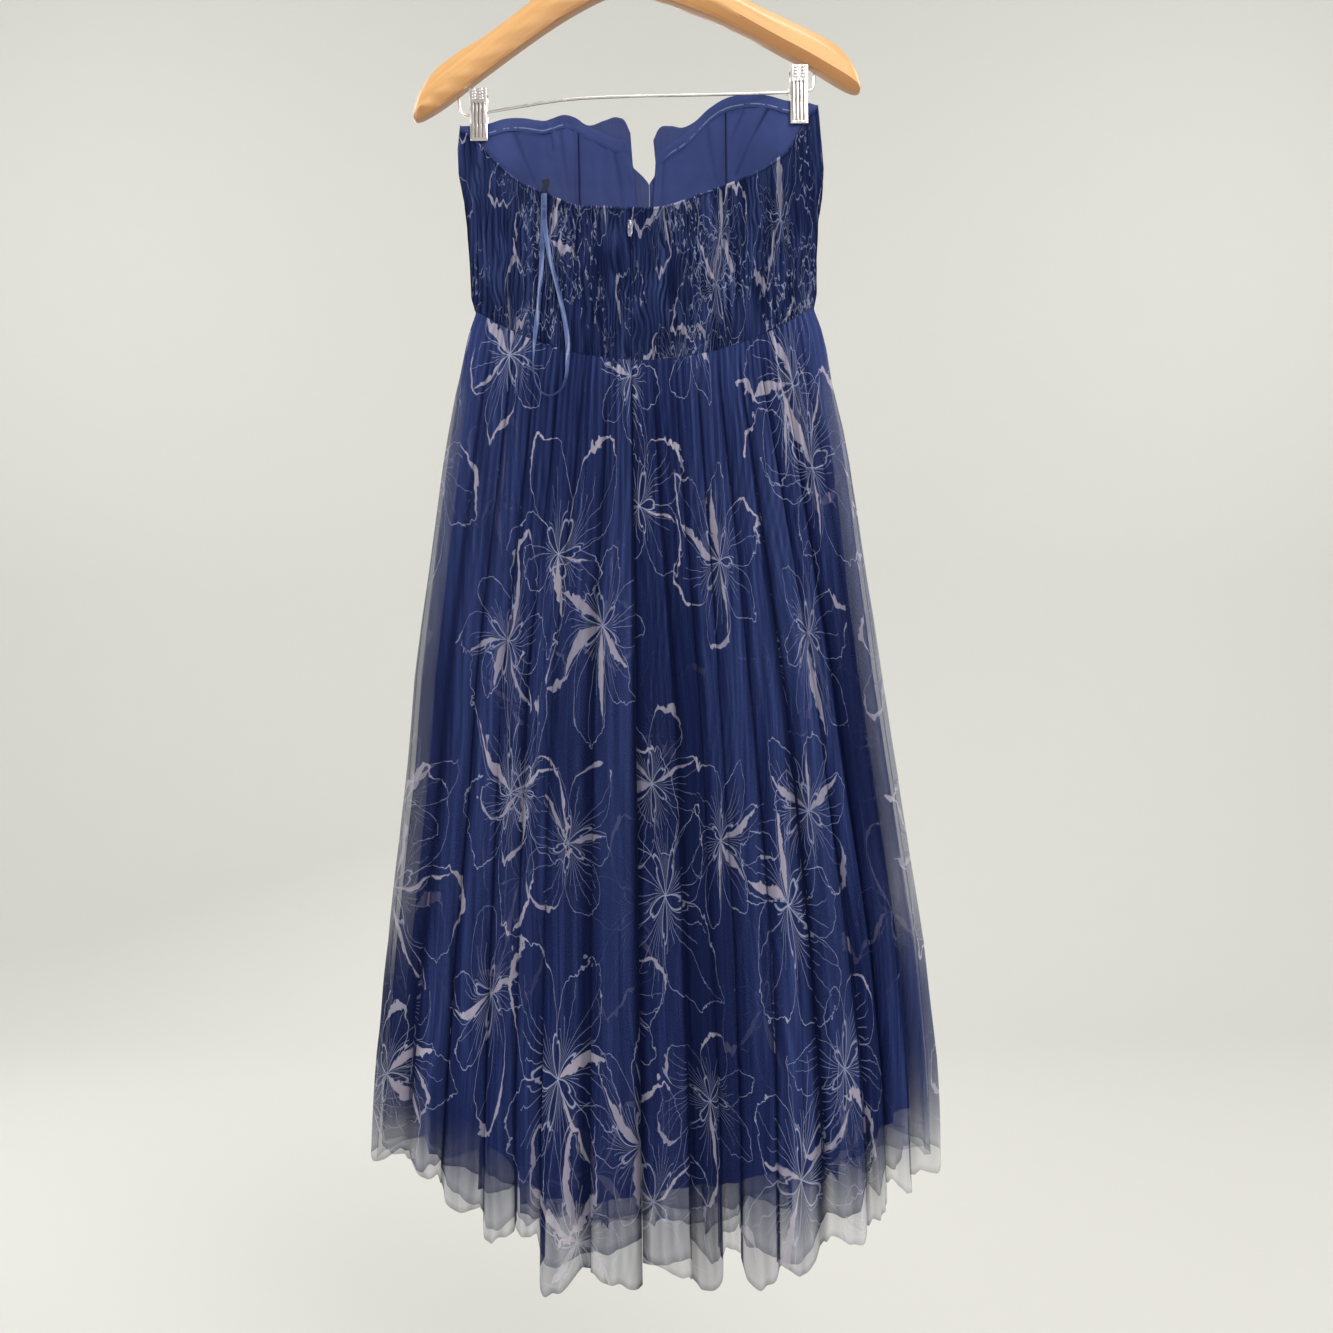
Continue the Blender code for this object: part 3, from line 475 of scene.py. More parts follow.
def grain(tree, place, scale, detail, distortion=0.0, space="2D"):
    values = {"Vector": place, "Scale": scale, "Detail": detail, "Distortion": distortion}
    return Number(add(tree, "TexNoise", values, noise_dimensions=space).outputs["Fac"])


def stretched(tree, place, scale):
    return add(tree, "Mapping", {"Vector": place, "Scale": (*scale, 1.0)}).outputs[0]


def flatPlace(tree, layer="cut"):
    return add(tree, "UVMap", uv_map=layer).outputs[0]


def meshValue(tree, label):
    return Number(add(tree, "Attribute", attribute_name=label).outputs["Fac"])


def bump(shader, height, strength, distance):
    made = add(shader.id_data, "Bump", {"Height": height, "Strength": strength, "Distance": distance})
    feed(shader, {"Normal": made.outputs[0]})


# A node group from the place on the cut and its wobble to the lines and accents of a print.
def newGroup(name, **extra):
    tree = bpy.data.node_groups.new(name, "ShaderNodeTree")
    tree.interface.new_socket(name="Cut", in_out="INPUT", socket_type="NodeSocketVector")
    for label, value in {"Wobble": 0.0, **extra}.items():
        made = tree.interface.new_socket(name=label, in_out="INPUT", socket_type="NodeSocketFloat")
        made.default_value = value
    for label in ("Line", "Accent"):
        tree.interface.new_socket(name=label, in_out="OUTPUT", socket_type="NodeSocketFloat")
    given = numbers(tree.nodes.new("NodeGroupInput"))[:2 + len(extra)]
    return tree, given, tree.nodes.new("NodeGroupOutput")


# 1 on the line, 0 past its width, with a soft edge.
def stroke(distance, width):
    return maths("MULTIPLY", 1.0 - distance / width, 1.6, clamp=True)


flower = {
    "veins": 7.0,             # to a petal
    "veinWidth": 0.00045,
    "rimWidth": 0.0007,
    "sideWidth": 0.0008,
    "base": 0.34,             # width of a petal at its base, as a share of its room
    "widening": 1.0,
    "brushWidth": 0.0054,     # half the width of a bold stroke
    "tipWidth": 0.0090,
    "torn": 0.42,
    "crisp": 1100.0,          # how sharply a bold stroke ends
    "leftOut": 0.08,         # share of the flowers
}


# Scattered line-drawn flowers: petal outlines, fans of veins and bold ragged strokes.
def makeFlowerGroup():
    tree, given, result = newGroup("flowerLines", Ruffle=0.0, Size=0.2, Shift=0.0, Petals=5.0)
    cut, wobble, ruffle, size, shift, petals = given

    def vector(operation, values):
        return add(tree, "VectorMath", values, operation=operation).outputs[0]

    def lottery(first, second):
        seed = add(tree, "CombineXYZ", {0: first, 1: second})
        return add(tree, "TexWhiteNoise", {"Vector": seed.outputs[0]}, noise_dimensions="2D")

    # nearest flower: how far and which way
    offset = add(tree, "CombineXYZ", {0: shift, 1: shift * 1.7})
    shifted = vector("ADD", {0: cut, 1: offset.outputs[0]})
    place = vector("SCALE", {0: shifted, "Scale": 1.0 / size})
    spread = add(tree, "TexVoronoi", {"Vector": place, "Scale": 1.0, "Randomness": 0.62},
                 voronoi_dimensions="2D", feature="F1")
    chance = numbers(add(tree, "SeparateColor", {0: spread.outputs["Color"]}))
    away = vector("SUBTRACT", {0: place, 1: spread.outputs["Position"]})
    parts = numbers(add(tree, "SeparateXYZ", {0: vector("SCALE", {0: away, "Scale": size})}))
    squeeze = parts[1] * (chance[2] * 0.5 + 0.8)
    radius = maths("SQRT", parts[0] ** 2.0 + squeeze ** 2.0)
    angle = maths("ARCTAN2", squeeze, parts[0]) + chance[0] * math.tau
    curl = radius * (chance[1] * 8.0 - 4.0)
    turn = (angle + curl) * (petals / math.tau)

    # place across and along the petal
    within = maths("FRACT", turn)
    mid = abs(within * 2.0 - 1.0)                # 0 at a petal's middle, 1 between two
    number = maths("FLOOR", turn) + chance[1] * 97.0
    cellSeed = chance[0] * 31.0
    lots = numbers(add(tree, "SeparateColor", {0: lottery(number, cellSeed).outputs["Color"]}))
    rounded = 1.0 - mid ** 2.6 * 0.5
    tip = (1.0 - mid) ** 3.0 * (lots[1] * 0.26)
    edge = size * (lots[0] * 0.19 + 0.28) * (rounded + tip)
    edge = edge * (wobble * 0.11 + (ruffle * 0.045 + 1.0))
    inside = radius < edge
    ratio = radius / edge
    fromRim = edge - radius

    # outlines
    room = maths("MINIMUM", 1.0, ratio * flower["widening"] + flower["base"])
    sideways = (within * 2.0 - 1.0) / room       # -1 to 1 across the petal
    onPetal = (abs(sideways) < 1.0) * inside
    half = room * (radius * math.tau / petals) * 0.5
    rim = stroke(abs(fromRim), mid * 0.0006 + flower["rimWidth"]) * (mid < room)
    between = stroke(abs(1.0 - abs(sideways)) * half, flower["sideWidth"]) * inside

    # veins, each with its own length
    swayed = wobble * 0.10 + (ruffle * 0.03 + sideways)
    spot = (swayed * 0.5 + 0.5) * flower["veins"]
    veinLot = lottery(maths("MULTIPLY_ADD", number, 17.0, maths("FLOOR", spot)), cellSeed)
    spacing = half * 2.0 / flower["veins"]
    aside = abs(maths("FRACT", spot) - 0.5) * spacing
    veinReach = ratio < Number(veinLot.outputs["Value"]) * 0.80 + 0.25
    vein = stroke(aside, maths("MINIMUM", flower["veinWidth"], spacing * 0.15)) * (veinReach * onPetal)
    vein = vein * (ratio * -0.30 + 0.80)

    # bold strokes: one along the petal, one curling round its tip
    torn = ruffle * flower["torn"] + 1.0
    sweep = abs(swayed - (ratio * -0.30 + 0.85)) * half
    body = ratio * maths("SUBTRACT", 1.0, ratio, clamp=True)
    brush = body * (4.0 * flower["brushWidth"]) * torn * (lots[1] * 0.9 + 0.3)
    bold = maths("MULTIPLY", brush - sweep, flower["crisp"], clamp=True) * (lots[2] > 0.55)
    tilt = maths("SUBTRACT", 1.0, abs(within - 0.62) / 0.34, clamp=True)
    thick = tilt * torn * flower["tipWidth"]
    crescent = maths("MULTIPLY", thick - fromRim, flower["crisp"], clamp=True)
    crescent = crescent * (onPetal * (lots[0] > 0.60))

    kept = chance[2] > flower["leftOut"]
    feed(result, {
        "Line": maths("MAXIMUM", maths("MAXIMUM", rim, between), vein) * kept,
        "Accent": maths("MAXIMUM", crescent, bold) * kept,
    })
    return tree


# Scatterings of flowers and, on ruched cloth, clusters of short marks, as one print.
def makePrintGroup(flowerTree, name, scatter, marks=0.0):
    tree, (cut, wobble), result = newGroup(name)
    ruffle = grain(tree, cut, 78.0, 2.0) * 4.0 - 2.0
    line = accent = 0.0
    if marks:
        contour = stroke(abs(grain(tree, cut, 52.0, 2.0) - 0.5), 0.034)
        cluster = maths("MULTIPLY", grain(tree, cut, 10.0, 1.0) - 0.49, 12.0, clamp=True)
        line = contour * cluster * ((ruffle > -0.05) * marks)
    for size, shift, petals, strength in scatter:
        values = {
            "Cut": cut, "Wobble": wobble, "Ruffle": ruffle, "Size": size, "Shift": shift, "Petals": petals,
        }
        drawn = numbers(add(tree, "Group", values.items(), node_tree=flowerTree))
        line = maths("MAXIMUM", line, drawn[0] * strength)
        accent = maths("MAXIMUM", accent, drawn[1] * strength)
    feed(result, {"Line": line, "Accent": accent})
    return tree


def newMaterial(name):
    made = bpy.data.materials.new(name)
    made.use_nodes = True
    return made, made.node_tree, made.node_tree.nodes["Principled BSDF"]


# Printed cloth, darker down in its gathers by painted shade; sheer where its cover is below 1.
def printedCloth(name, printGroup, cloth):
    made, tree, shader = newMaterial(name)
    cut = flatPlace(tree)
    paintedShade = meshValue(tree, "paintedShade")
    values = {"Cut": cut, "Wobble": meshValue(tree, "wobble")}
    drawn = numbers(add(tree, "Group", values.items(), node_tree=printGroup))
    line, accent = drawn[0] * cloth["line"], drawn[1] * cloth["accent"]
    ink = maths("MAXIMUM", line, accent)
    # lighter and darker fine vertical streaks: tone in the cloth and painted shade of the fine pleats
    streak = grain(tree, stretched(tree, cut, cloth["streaks"]), 1.0, 1.0)
    shade = maths("ADD", meshValue(tree, "tone"), (streak - 0.5) * cloth["streakDepth"], clamp=True)
    ground = mix(paintedShade, cloth["deep"], mix(shade, cloth["dark"], cloth["light"]))
    printed = mix(ink, ground, mix(accent, cloth["lineColour"], cloth["accentColour"]))
    feed(shader, {
        "Base Color": mix(paintedShade * 0.7 + 0.3, cloth["deep"], printed),
        "Roughness": cloth["rough"],
        "Specular IOR Level": 0.02,
    })
    if cloth["inkCover"] < 1:
        feed(shader, {"Alpha": maths("MAXIMUM", meshValue(tree, "cover"), ink * cloth["inkCover"])})
    return made


# Plain woven cloth with soft shade changes, and painted shade in its creases where it has a paintedShade
# value.
def plainCloth(name, cloth):
    made, tree, shader = newMaterial(name)
    cut = flatPlace(tree)
    contrast = cloth.get("contrast", 1.0)
    broad = grain(tree, cut, cloth.get("scale", 22.0), 3.0)
    shade = maths("MULTIPLY_ADD", broad, contrast, 0.5 - 0.5 * contrast, clamp=True)
    ground = mix(shade, cloth["dark"], cloth["light"])
    if "deep" in cloth:
        ground = mix(meshValue(tree, "paintedShade"), cloth["deep"], ground)
    bump(shader, grain(tree, stretched(tree, cut, (1400.0, 260.0)), 1.0, 1.0), 0.1, 0.0001)
    feed(shader, {
        "Base Color": ground,
        "Roughness": shade * 0.2 + (cloth["rough"] - 0.1),
        "Sheen Weight": cloth["sheen"],
        "Sheen Tint": (0.4, 0.5, 0.9),
        "Specular IOR Level": cloth.get("gloss", 0.25),
    })
    return made


# Facing tape with a shiny raised line along its lower edge, lighter in short dashes: its own lighter colour
# with painted glints.
def gripperStrip(name, cloth):
    made, tree, shader = newMaterial(name)
    cut = flatPlace(tree)
    fromLine = abs(numbers(add(tree, "SeparateXYZ", {0: cut}))[1] + cloth["lineDrop"] * mm)
    onLine = maths("SUBTRACT", 1.0, fromLine / (cloth["lineWidth"] * mm), clamp=True)
    onLine = onLine * (grain(tree, cut, 90.0, 2.0) > 0.48) * meshValue(tree, "grip")
    ground = mix(grain(tree, cut, 30.0, 3.0), cloth["dark"], cloth["light"])
    bump(shader, onLine, 0.6, 0.0006)
    feed(shader, {
        "Base Color": mix(onLine, ground, cloth["line"]),
        "Roughness": cloth["rough"] - onLine * 0.4,
        "Specular IOR Level": cloth["gloss"],
    })
    return made


# Lacquered wood with its grain along each arm, and painted shade on its underside.
def honeyWood(name, wood):
    made, tree, shader = newMaterial(name)
    along = flatPlace(tree, "grain")
    lines = grain(tree, stretched(tree, along, (4.0, 90.0)), 1.6, 6.0, 0.6)
    tone = mix(lines, wood["dark"], wood["light"])
    tone = mix(grain(tree, along, 12.0, 2.0) * 0.35, tone, wood["warm"])
    facing = numbers(add(tree, "SeparateXYZ", {0: add(tree, "NewGeometry").outputs["Normal"]}))
    # painted shade: faces that point down get the darker under colour
    tone = mix(maths("MULTIPLY", facing[2], -2.6, clamp=True), tone, wood["under"])      # darker underneath
    bump(shader, lines, 0.06, 0.0005)
    feed(shader, {
        "Base Color": tone, "Roughness": lines * 0.12 + 0.3, "Coat Weight": 0.5, "Coat Roughness": 0.18,
    })
    return made


# Plated steel with faint smears.
def brightChrome(name, metal):
    made, tree, shader = newMaterial(name)
    place = add(tree, "TexCoord").outputs["Object"]
    smear = grain(tree, place, metal.get("smear", 140.0), 4.0, space="3D")
    tone = mix(smear, metal["dark"], metal["light"])
    feed(shader, {"Base Color": tone, "Roughness": smear * 0.16 + metal["rough"], "Metallic": 1.0})
    return made


# In the cloth finishes, deep is the painted shade colour down in the gathers, valleys and creases.
finishes = {
    "overlay": {
        "deep": (0.004, 0.007, 0.032), "dark": (0.012, 0.020, 0.086), "light": (0.046, 0.069, 0.212),
        "lineColour": (0.50, 0.53, 0.70), "accentColour": (0.50, 0.44, 0.52),
        "streaks": (230.0, 5.0), "streakDepth": 1.1, "line": 0.72, "accent": 0.88,
        "inkCover": 0.8, "rough": 0.75,
    },
    "under": {
        "deep": (0.004, 0.007, 0.030), "dark": (0.012, 0.020, 0.082), "light": (0.034, 0.050, 0.165),
        "lineColour": (0.28, 0.31, 0.48), "accentColour": (0.33, 0.28, 0.36),
        "streaks": (180.0, 4.0), "streakDepth": 0.8, "line": 0.6, "accent": 0.85,
        "inkCover": 0.6, "rough": 0.75,
    },
    "ruched": {
        "deep": (0.003, 0.006, 0.026), "dark": (0.009, 0.015, 0.066), "light": (0.043, 0.064, 0.188),
        "lineColour": (0.42, 0.46, 0.64), "accentColour": (0.52, 0.45, 0.53),
        "streaks": (330.0, 9.0), "streakDepth": 1.2, "line": 0.55, "accent": 0.68,
        "inkCover": 1.0, "rough": 0.7,
    },
    "lining": {
        "dark": (0.030, 0.045, 0.150), "light": (0.042, 0.060, 0.195), "deep": (0.010, 0.015, 0.060),
        "contrast": 1.8, "rough": 0.6, "sheen": 0.05, "gloss": 0.1,
    },
    "inside": {"dark": (0.024, 0.038, 0.130), "light": (0.036, 0.053, 0.175), "rough": 0.6, "sheen": 0.05},
    "underskirt": {
        "dark": (0.014, 0.019, 0.080), "light": (0.022, 0.029, 0.112), "rough": 0.5, "sheen": 0.05,
    },
    "facing": {
        "dark": (0.030, 0.046, 0.155), "light": (0.044, 0.064, 0.205), "line": (0.22, 0.26, 0.44),
        "lineDrop": 9.6, "lineWidth": 0.9, "rough": 0.55, "gloss": 0.12,
    },
    # the ribbon's strong light and dark zones along its length are painted satin sheen
    "ribbon": {
        "dark": (0.032, 0.055, 0.165), "light": (0.092, 0.142, 0.350), "scale": 34.0, "contrast": 2.6,
        "rough": 0.32, "sheen": 0.1, "gloss": 0.5,
    },
    "binding": {"dark": (0.006, 0.008, 0.022), "light": (0.014, 0.018, 0.045), "rough": 0.7, "sheen": 0.2},
    "tape": {"dark": (0.010, 0.014, 0.050), "light": (0.018, 0.024, 0.075), "rough": 0.7, "sheen": 0.1},
    "wood": {
        "dark": (0.55, 0.27, 0.085), "light": (0.88, 0.52, 0.23), "warm": (0.76, 0.40, 0.15),
        # painted shade colour for the wood's underside
        "under": (0.40, 0.175, 0.05),
    },
    # painted shade: the dark metal put in the grooves between the clip's ribs
    "grooveShade": {"dark": (0.13, 0.10, 0.10), "light": (0.28, 0.23, 0.23), "rough": 0.3},
    "chrome": {"dark": (0.70, 0.65, 0.65), "light": (0.94, 0.91, 0.91), "rough": 0.16},
    "pull": {"dark": (0.11, 0.11, 0.20), "light": (0.56, 0.56, 0.66), "rough": 0.24, "smear": 260.0},
}

flowerGroup = makeFlowerGroup()
printGroup = makePrintGroup(flowerGroup, "dressPrint", ((0.298, 0.03, 5.0, 1.0), (0.232, 0.37, 6.0, 0.85)))
underGroup = makePrintGroup(flowerGroup, "underPrint", ((0.240, 0.71, 5.0, 1.0),))
ruchedGroup = makePrintGroup(
    flowerGroup, "ruchedPrint", ((0.230, 0.11, 5.0, 1.0), (0.185, 0.53, 5.0, 0.8)), marks=0.9)
overlayFinish = printedCloth("printedTulle", printGroup, finishes["overlay"])
underFinish = printedCloth("underTulle", underGroup, finishes["under"])
ruchedFinish = printedCloth("ruchedTulle", ruchedGroup, finishes["ruched"])
liningFinish = plainCloth("navyLining", finishes["lining"])
insideFinish = plainCloth("plainInside", finishes["inside"])
underskirtFinish = plainCloth("navyUnderskirt", finishes["underskirt"])
facingFinish = gripperStrip("gripperFacing", finishes["facing"])
ribbonFinish = plainCloth("satinRibbon", finishes["ribbon"])
bindingFinish = plainCloth("darkBinding", finishes["binding"])
tapeFinish = plainCloth("zipTape", finishes["tape"])
woodFinish = honeyWood("honeyWood", finishes["wood"])
chromeFinish = brightChrome("brightChrome", finishes["chrome"])
pullFinish = brightChrome("darkPull", finishes["pull"])
grooveShadeFinish = brightChrome("shadedChromeGrooves", finishes["grooveShade"])
print("finishes made")


# Skirt

# Ends of each fold on each row, as shares of the panel.
def foldEnds(rows, down):
    count = len(rows)
    table = np.array(rows)
    even = (np.arange(count) + 1) / count
    middles, hems = table[:, atMiddle], table[:, atHem]
    upper = even + (middles - even) * smooth(down[:, None] / 0.45)
    lower = middles + (hems - middles) * smooth((down[:, None] - 0.45) / 0.55)
    ends = np.where(down[:, None] < 0.45, upper, lower)
    return np.concatenate([np.zeros((len(down), 1)), ends], axis=1)


# One layer of the skirt: its points, what share of each fold is hidden, and its shade.
def skirtSheet(side, half, layer, seed):
    rows = folds[half]
    table = np.array(rows)
    isLining = layer == "lining"
    steps = skirt["stepsPerFold"][layer]
    down = np.linspace(0, 1, skirt["rows"][layer]) ** 1.15
    columnIndex = np.arange(len(rows) * steps + 1)
    index = np.minimum(columnIndex // steps, len(rows) - 1)
    within = columnIndex / steps - index
    if not isLining:
        within = np.clip(within + 0.40 * np.sin(math.tau * within) / math.tau, 0, 1)
    profile = np.maximum(np.sin(np.pi * within), 0)
    ends = foldEnds(rows, down)
    start, finish = ends[:, index], ends[:, index + 1]
    lean = table[index, leans] * profile ** 0.28 * smooth(down[:, None] / 0.35)
    fraction = start + (finish - start) * (within + lean)
    wander = 0.010 * noise(index * 1.37 + 0 * down[:, None], down[:, None] * 4.5, seed)
    wander = wander * np.sin(np.pi * fraction) * smooth(down[:, None] / 0.3)
    fraction = np.clip(fraction + wander, 0, 1)
    fraction[:, 0], fraction[:, -1] = 0, 1
    top = waistHeight(lambda level: halfShare(half, fraction[0], level), fraction[0]) - 0.15
    if isLining:
        share0 = halfShare(half, fraction[0], top)
        hem = curve(skirt["liningHem"], share0) + 3 * noise(fraction[0] * 9, fraction[0] * 0, seed)
    else:
        neighbour = np.clip(index + np.where(within > 0.5, 1, -1), 0, len(rows) - 1)
        near = smooth((np.abs(within - 0.5) - 0.36) / 0.14) * 0.5
        tilt = 16 * np.sin(index * 2.7 + seed) * (within - 0.5)
        dip = 5 + 9 * noise(index * 3.1 + 0.4, index * 0.0, seed + 21)
        hem = table[index, hemLevel] * (1 - near) + table[neighbour, hemLevel] * near
        hem = hem + tilt + dip * (2 * within - 1) ** 2 * (1 - near)
        hem = hem + 3.4 * noise(columnIndex / steps * 3.3, columnIndex * 0, seed + 3)
        hem = hem + (15 + 14 * noise(index * 1.9, index * 0.7, seed) if layer == "under" else 0)
    height = top[None, :] + (hem - top)[None, :] * down[:, None]
    share = halfShare(half, fraction, height)
    points = flatPoint(side, share, height)
    normals = outward(side, share, height)
    below = np.maximum(0, top[None, :] - height)
    paintedShade = np.ones_like(share)
    if isLining:
        drift = smooth(below / 90) + np.minimum(4, np.maximum(0, below - 90) * 0.05)
        ripple = 1 - wave(within[None, :] + 0.2 * noise(fraction * 6, down[:, None] * 3, seed))
        out = -drift - np.minimum(7, below * 0.016) * ripple
        side0 = np.zeros_like(share)
        side0[:, 0], side0[:, -1] = 1, -1
        if half != "whole":
            side0[:, -1 if half == "left" else 0] = 0
        points[..., 0] += side0 * drift * (1 - smooth(below / 60))
        out = np.where(side0 != 0, 0, out)
    else:
        raised = profile[None, :] ** 0.5
        fold = outline(height, "fold") * table[index, tall][None, :] * raised
        if layer == "under":
            fold = fold * 0.55
        place = points[..., 0]
        drifted = share * skirt["gathers"] + 0.5 * noise(share * 17, height / 120, seed) + seed * 0.37
        fade = np.maximum(0, 1 - below / skirt["gatherLength"]) ** 0.8
        ridge = wave(drifted)
        gather = skirt["gatherDepth"] * ridge * fade * (0.75 + 0.4 * noise(place / 9, height / 60, seed + 1))
        minor = wave(within[None, :] * 3 + 0.8 * noise(place / 40, height / 110, seed + 2))
        swell = (0.8 + 3.2 * smooth(below / 160)) * (0.6 + 0.6 * noise(place / 30, height / 150, seed + 5))
        crease = wave(place / 8.5 + 1.6 * noise(place / 26, height / 120, seed + 7))
        creased = smooth(below / 60) * (1 - 0.55 * smooth((below - 350) / 300))
        flutter = 3.0 * noise(place / 22, height / 90, seed + 9) * smooth((below - 560) / 260)
        small = np.maximum(0, minor * swell) + crease * creased * 0.8 + flutter
        out = fold + gather + small * profile[None, :]
        # painted shade down each valley between the folds, in the gathers below the waist and along the small
        # creases
        valley = smooth(profile[None, :] / (0.28 + 0.12 * smooth((below - 150) / 350))) ** 0.8
        valley = 1 - (1 - valley) * smooth(below / 60)
        pleat = (0.50 + 0.25 * noise(place / 14, height / 90, seed + 31)) * (1 - ridge) * fade
        paintedShade = valley * (1 - pleat) * (1 - 0.26 * (1 - crease) * creased)
        paintedShade = paintedShade * (1 - 0.22 * (1 - minor))
    seamColumn = {"left": -1, "right": 0, "whole": None}[half]
    if seamColumn is not None:
        normals[:, seamColumn] = (0, side, 0)
        points[:, seamColumn, 0] += skirt["seamGap"] if half == "right" else -skirt["seamGap"]
    points = closeSides(moved(points, normals, skirt[layer][side] + out), share)
    beside = smooth(1 - share / 0.10) - smooth((share - 0.90) / 0.10)
    paintedShade = 1 - (1 - paintedShade) * (1 - 0.8 * np.abs(beside))
    if isLining:
        points[..., 0] += beside * skirt["liningInset"] * smooth((below - 20) / 90)
    else:
        reach = tableAt(below, skirt["flare"])
        points[..., 0] -= beside * reach * (1.0 if layer == "overlay" else skirt["underFlare"])
    hidden = index + within - np.sin(math.tau * within) / math.tau * 0.96       # cloth behind each fold
    panelTone = noise(index * 1.71 + 0.3 + 0 * share, height / 420, seed + 12)
    tone = 0.50 + 0.44 * panelTone + 0.22 * noise(points[..., 0] / 4.0, height / 260, seed + 13)
    tone = tone - 0.34 * smooth((below - 200) / 600)
    if not isLining:
        # painted shade, deeper on panels chosen at random
        paintedShade = paintedShade * (1 - 0.42 * smooth((-0.15 - panelTone) / 0.5) * smooth((below - 120) / 260))
    # the side of each fold away from the light
    tone = tone - 0.34 * smooth((0.46 - within[None, :]) / 0.40) * smooth(below / 120)
    cover = np.ones_like(share)
    if not isLining:
        above = height - hem[None, :]
        layered = 1 + 0.9 * (2 * share - 1) ** 2 * smooth((above - 8) / 40) * smooth((below - 560) / 120)
        cover = tableAt(below, skirt["cover"][layer]) * tableAt(above, skirt["hemCover"]) * layered
        cover = cover + 0.15 * noise(index * 2.3 + 0.7 + 0 * share, height / 300, seed + 15)
        sideways = skirt["sideCover"] * np.abs(beside) * smooth((below - 20) / 80)
        # denser in the valleys, where the cloth doubles, and so that the painted shade there shows
        cover = cover * (1 - sideways) + 0.42 * (1 - paintedShade)
        rim = smooth((down[:, None] - 0.994) / 0.004)
        cover, paintedShade = cover + 0.22 * rim, paintedShade * (1 - 0.4 * rim)
    return points, hidden, np.clip(paintedShade, 0, 1), np.clip(tone, 0, 1), np.clip(cover, 0.2, 0.95)


def skirtPiece(name, side, half, layer, seed, finish, node):
    points, hidden, paintedShade, tone, cover = skirtSheet(side, half, layer, seed)
    origins = {"left": (0.0, 0.0), "right": (0.9, 0.0), "whole": (2.3, 0.3)}
    shift = 0.61 if layer == "under" else 0.0
    spreadOut = points[..., 0] * 1.12 + skirt["turnedIn"] * hidden[None, :]
    uv = np.stack([spreadOut * mm + origins[half][0] + shift,
                   (points[..., 2] + 400) * mm + origins[half][1] + shift * 0.4], axis=-1)
    uv = uv + 0.020 * np.stack([noise(uv[..., 0] / 0.12, uv[..., 1] / 0.12, 61),
                                noise(uv[..., 0] / 0.12, uv[..., 1] / 0.12, 62)], axis=-1)
    piece = clothSheet(name, side, points, uv, clothValues(uv, paintedShade, tone, 5, cover))
    dress(piece, finish, [node] if node else ())
    piece.visible_shadow = layer == "lining"      # tulle lets the light through
    declareSheet(points)


skirtPanels = (
    ("left", back, "BackLeft", "back_left", 1),
    ("right", back, "BackRight", "back_right", 11),
    ("whole", front, "Front", "front", 21),
)
for half, side, title, end, seed in skirtPanels:
    skirtPiece("skirtOverlay" + title, side, half, "overlay", seed, overlayFinish,
               "skirt_overlay_" + end)
    skirtPiece("skirtUnderTulle" + title, side, half, "under", seed + 4, underFinish, None)
    skirtPiece("skirtLining" + title, side, half, "lining", seed + 8, underskirtFinish,
               "skirt_lining_" + end)
print("skirt made")


# Bodice

# Two systems of gathers, one giving way to the other, so that folds split and run together.
def gathers(x, height, seed):
    wide, narrow = bodice["pitches"]
    x = x + 2.1 * noise(x / 26, height / 24, seed + 21) + 0.8 * noise(x / 15, height / 8, seed + 22)
    first = x / wide + 1.15 * noise(x / 15, height / 70, seed) + 0.30 * noise(x / 6, height / 26, seed + 1)
    second = x / narrow + 1.05 * noise(x / 11, height / 52, seed + 5)
    second = second + 0.26 * noise(x / 5, height / 22, seed + 7)
    give = smooth(0.5 + 1.1 * noise(x / 10, height / 48, seed + 9))
    ridge = np.abs(np.sin(np.pi * first)) ** 1.1 * give
    return first, ridge + np.abs(np.sin(np.pi * second)) ** 1.1 * 0.85 * (1 - give)


# Shade down in the gathers, and the cut: most of the cloth is drawn into the valleys.
def ruchedCloth(x, height, phase, ridge, strength, pressed, origin):
    paintedShade = 1 - (1 - ridge) ** 1.1 * 0.95 * strength * (0.4 + 0.6 * pressed)
    deepness = np.clip(0.78 + 0.75 * noise(x / 9, height / 22, 23), 0.25, 1.1)
    paintedShade = 1 - (1 - paintedShade) * deepness
    paintedShade = paintedShade * (1 - 0.45 * strength * (0.5 + 0.5 * noise(x / 6, height / 50, 17)))
    drawn = phase - 0.9 * np.sin(math.tau * phase) / math.tau
    u = bodice["squeeze"] * x + bodice["drawnIn"] * drawn * strength.max()
    v = height + 5.0 * noise(x / 2.1, height / 30, 19) + 1.5 * noise(x / 2.6, height / 9, 20)
    return np.clip(paintedShade, 0, 1), np.stack([u * mm + origin[0], v * mm + origin[1]], axis=-1)


def ruchedTone(x, height, seed):
    broad = 0.34 * noise(x / 9, height / 90, seed) + 0.30 * noise(x / 17, height / 26, seed + 3)
    return np.clip(0.40 + broad + 0.34 * noise(x / 2.6, height / 42, seed + 1), 0, 1)


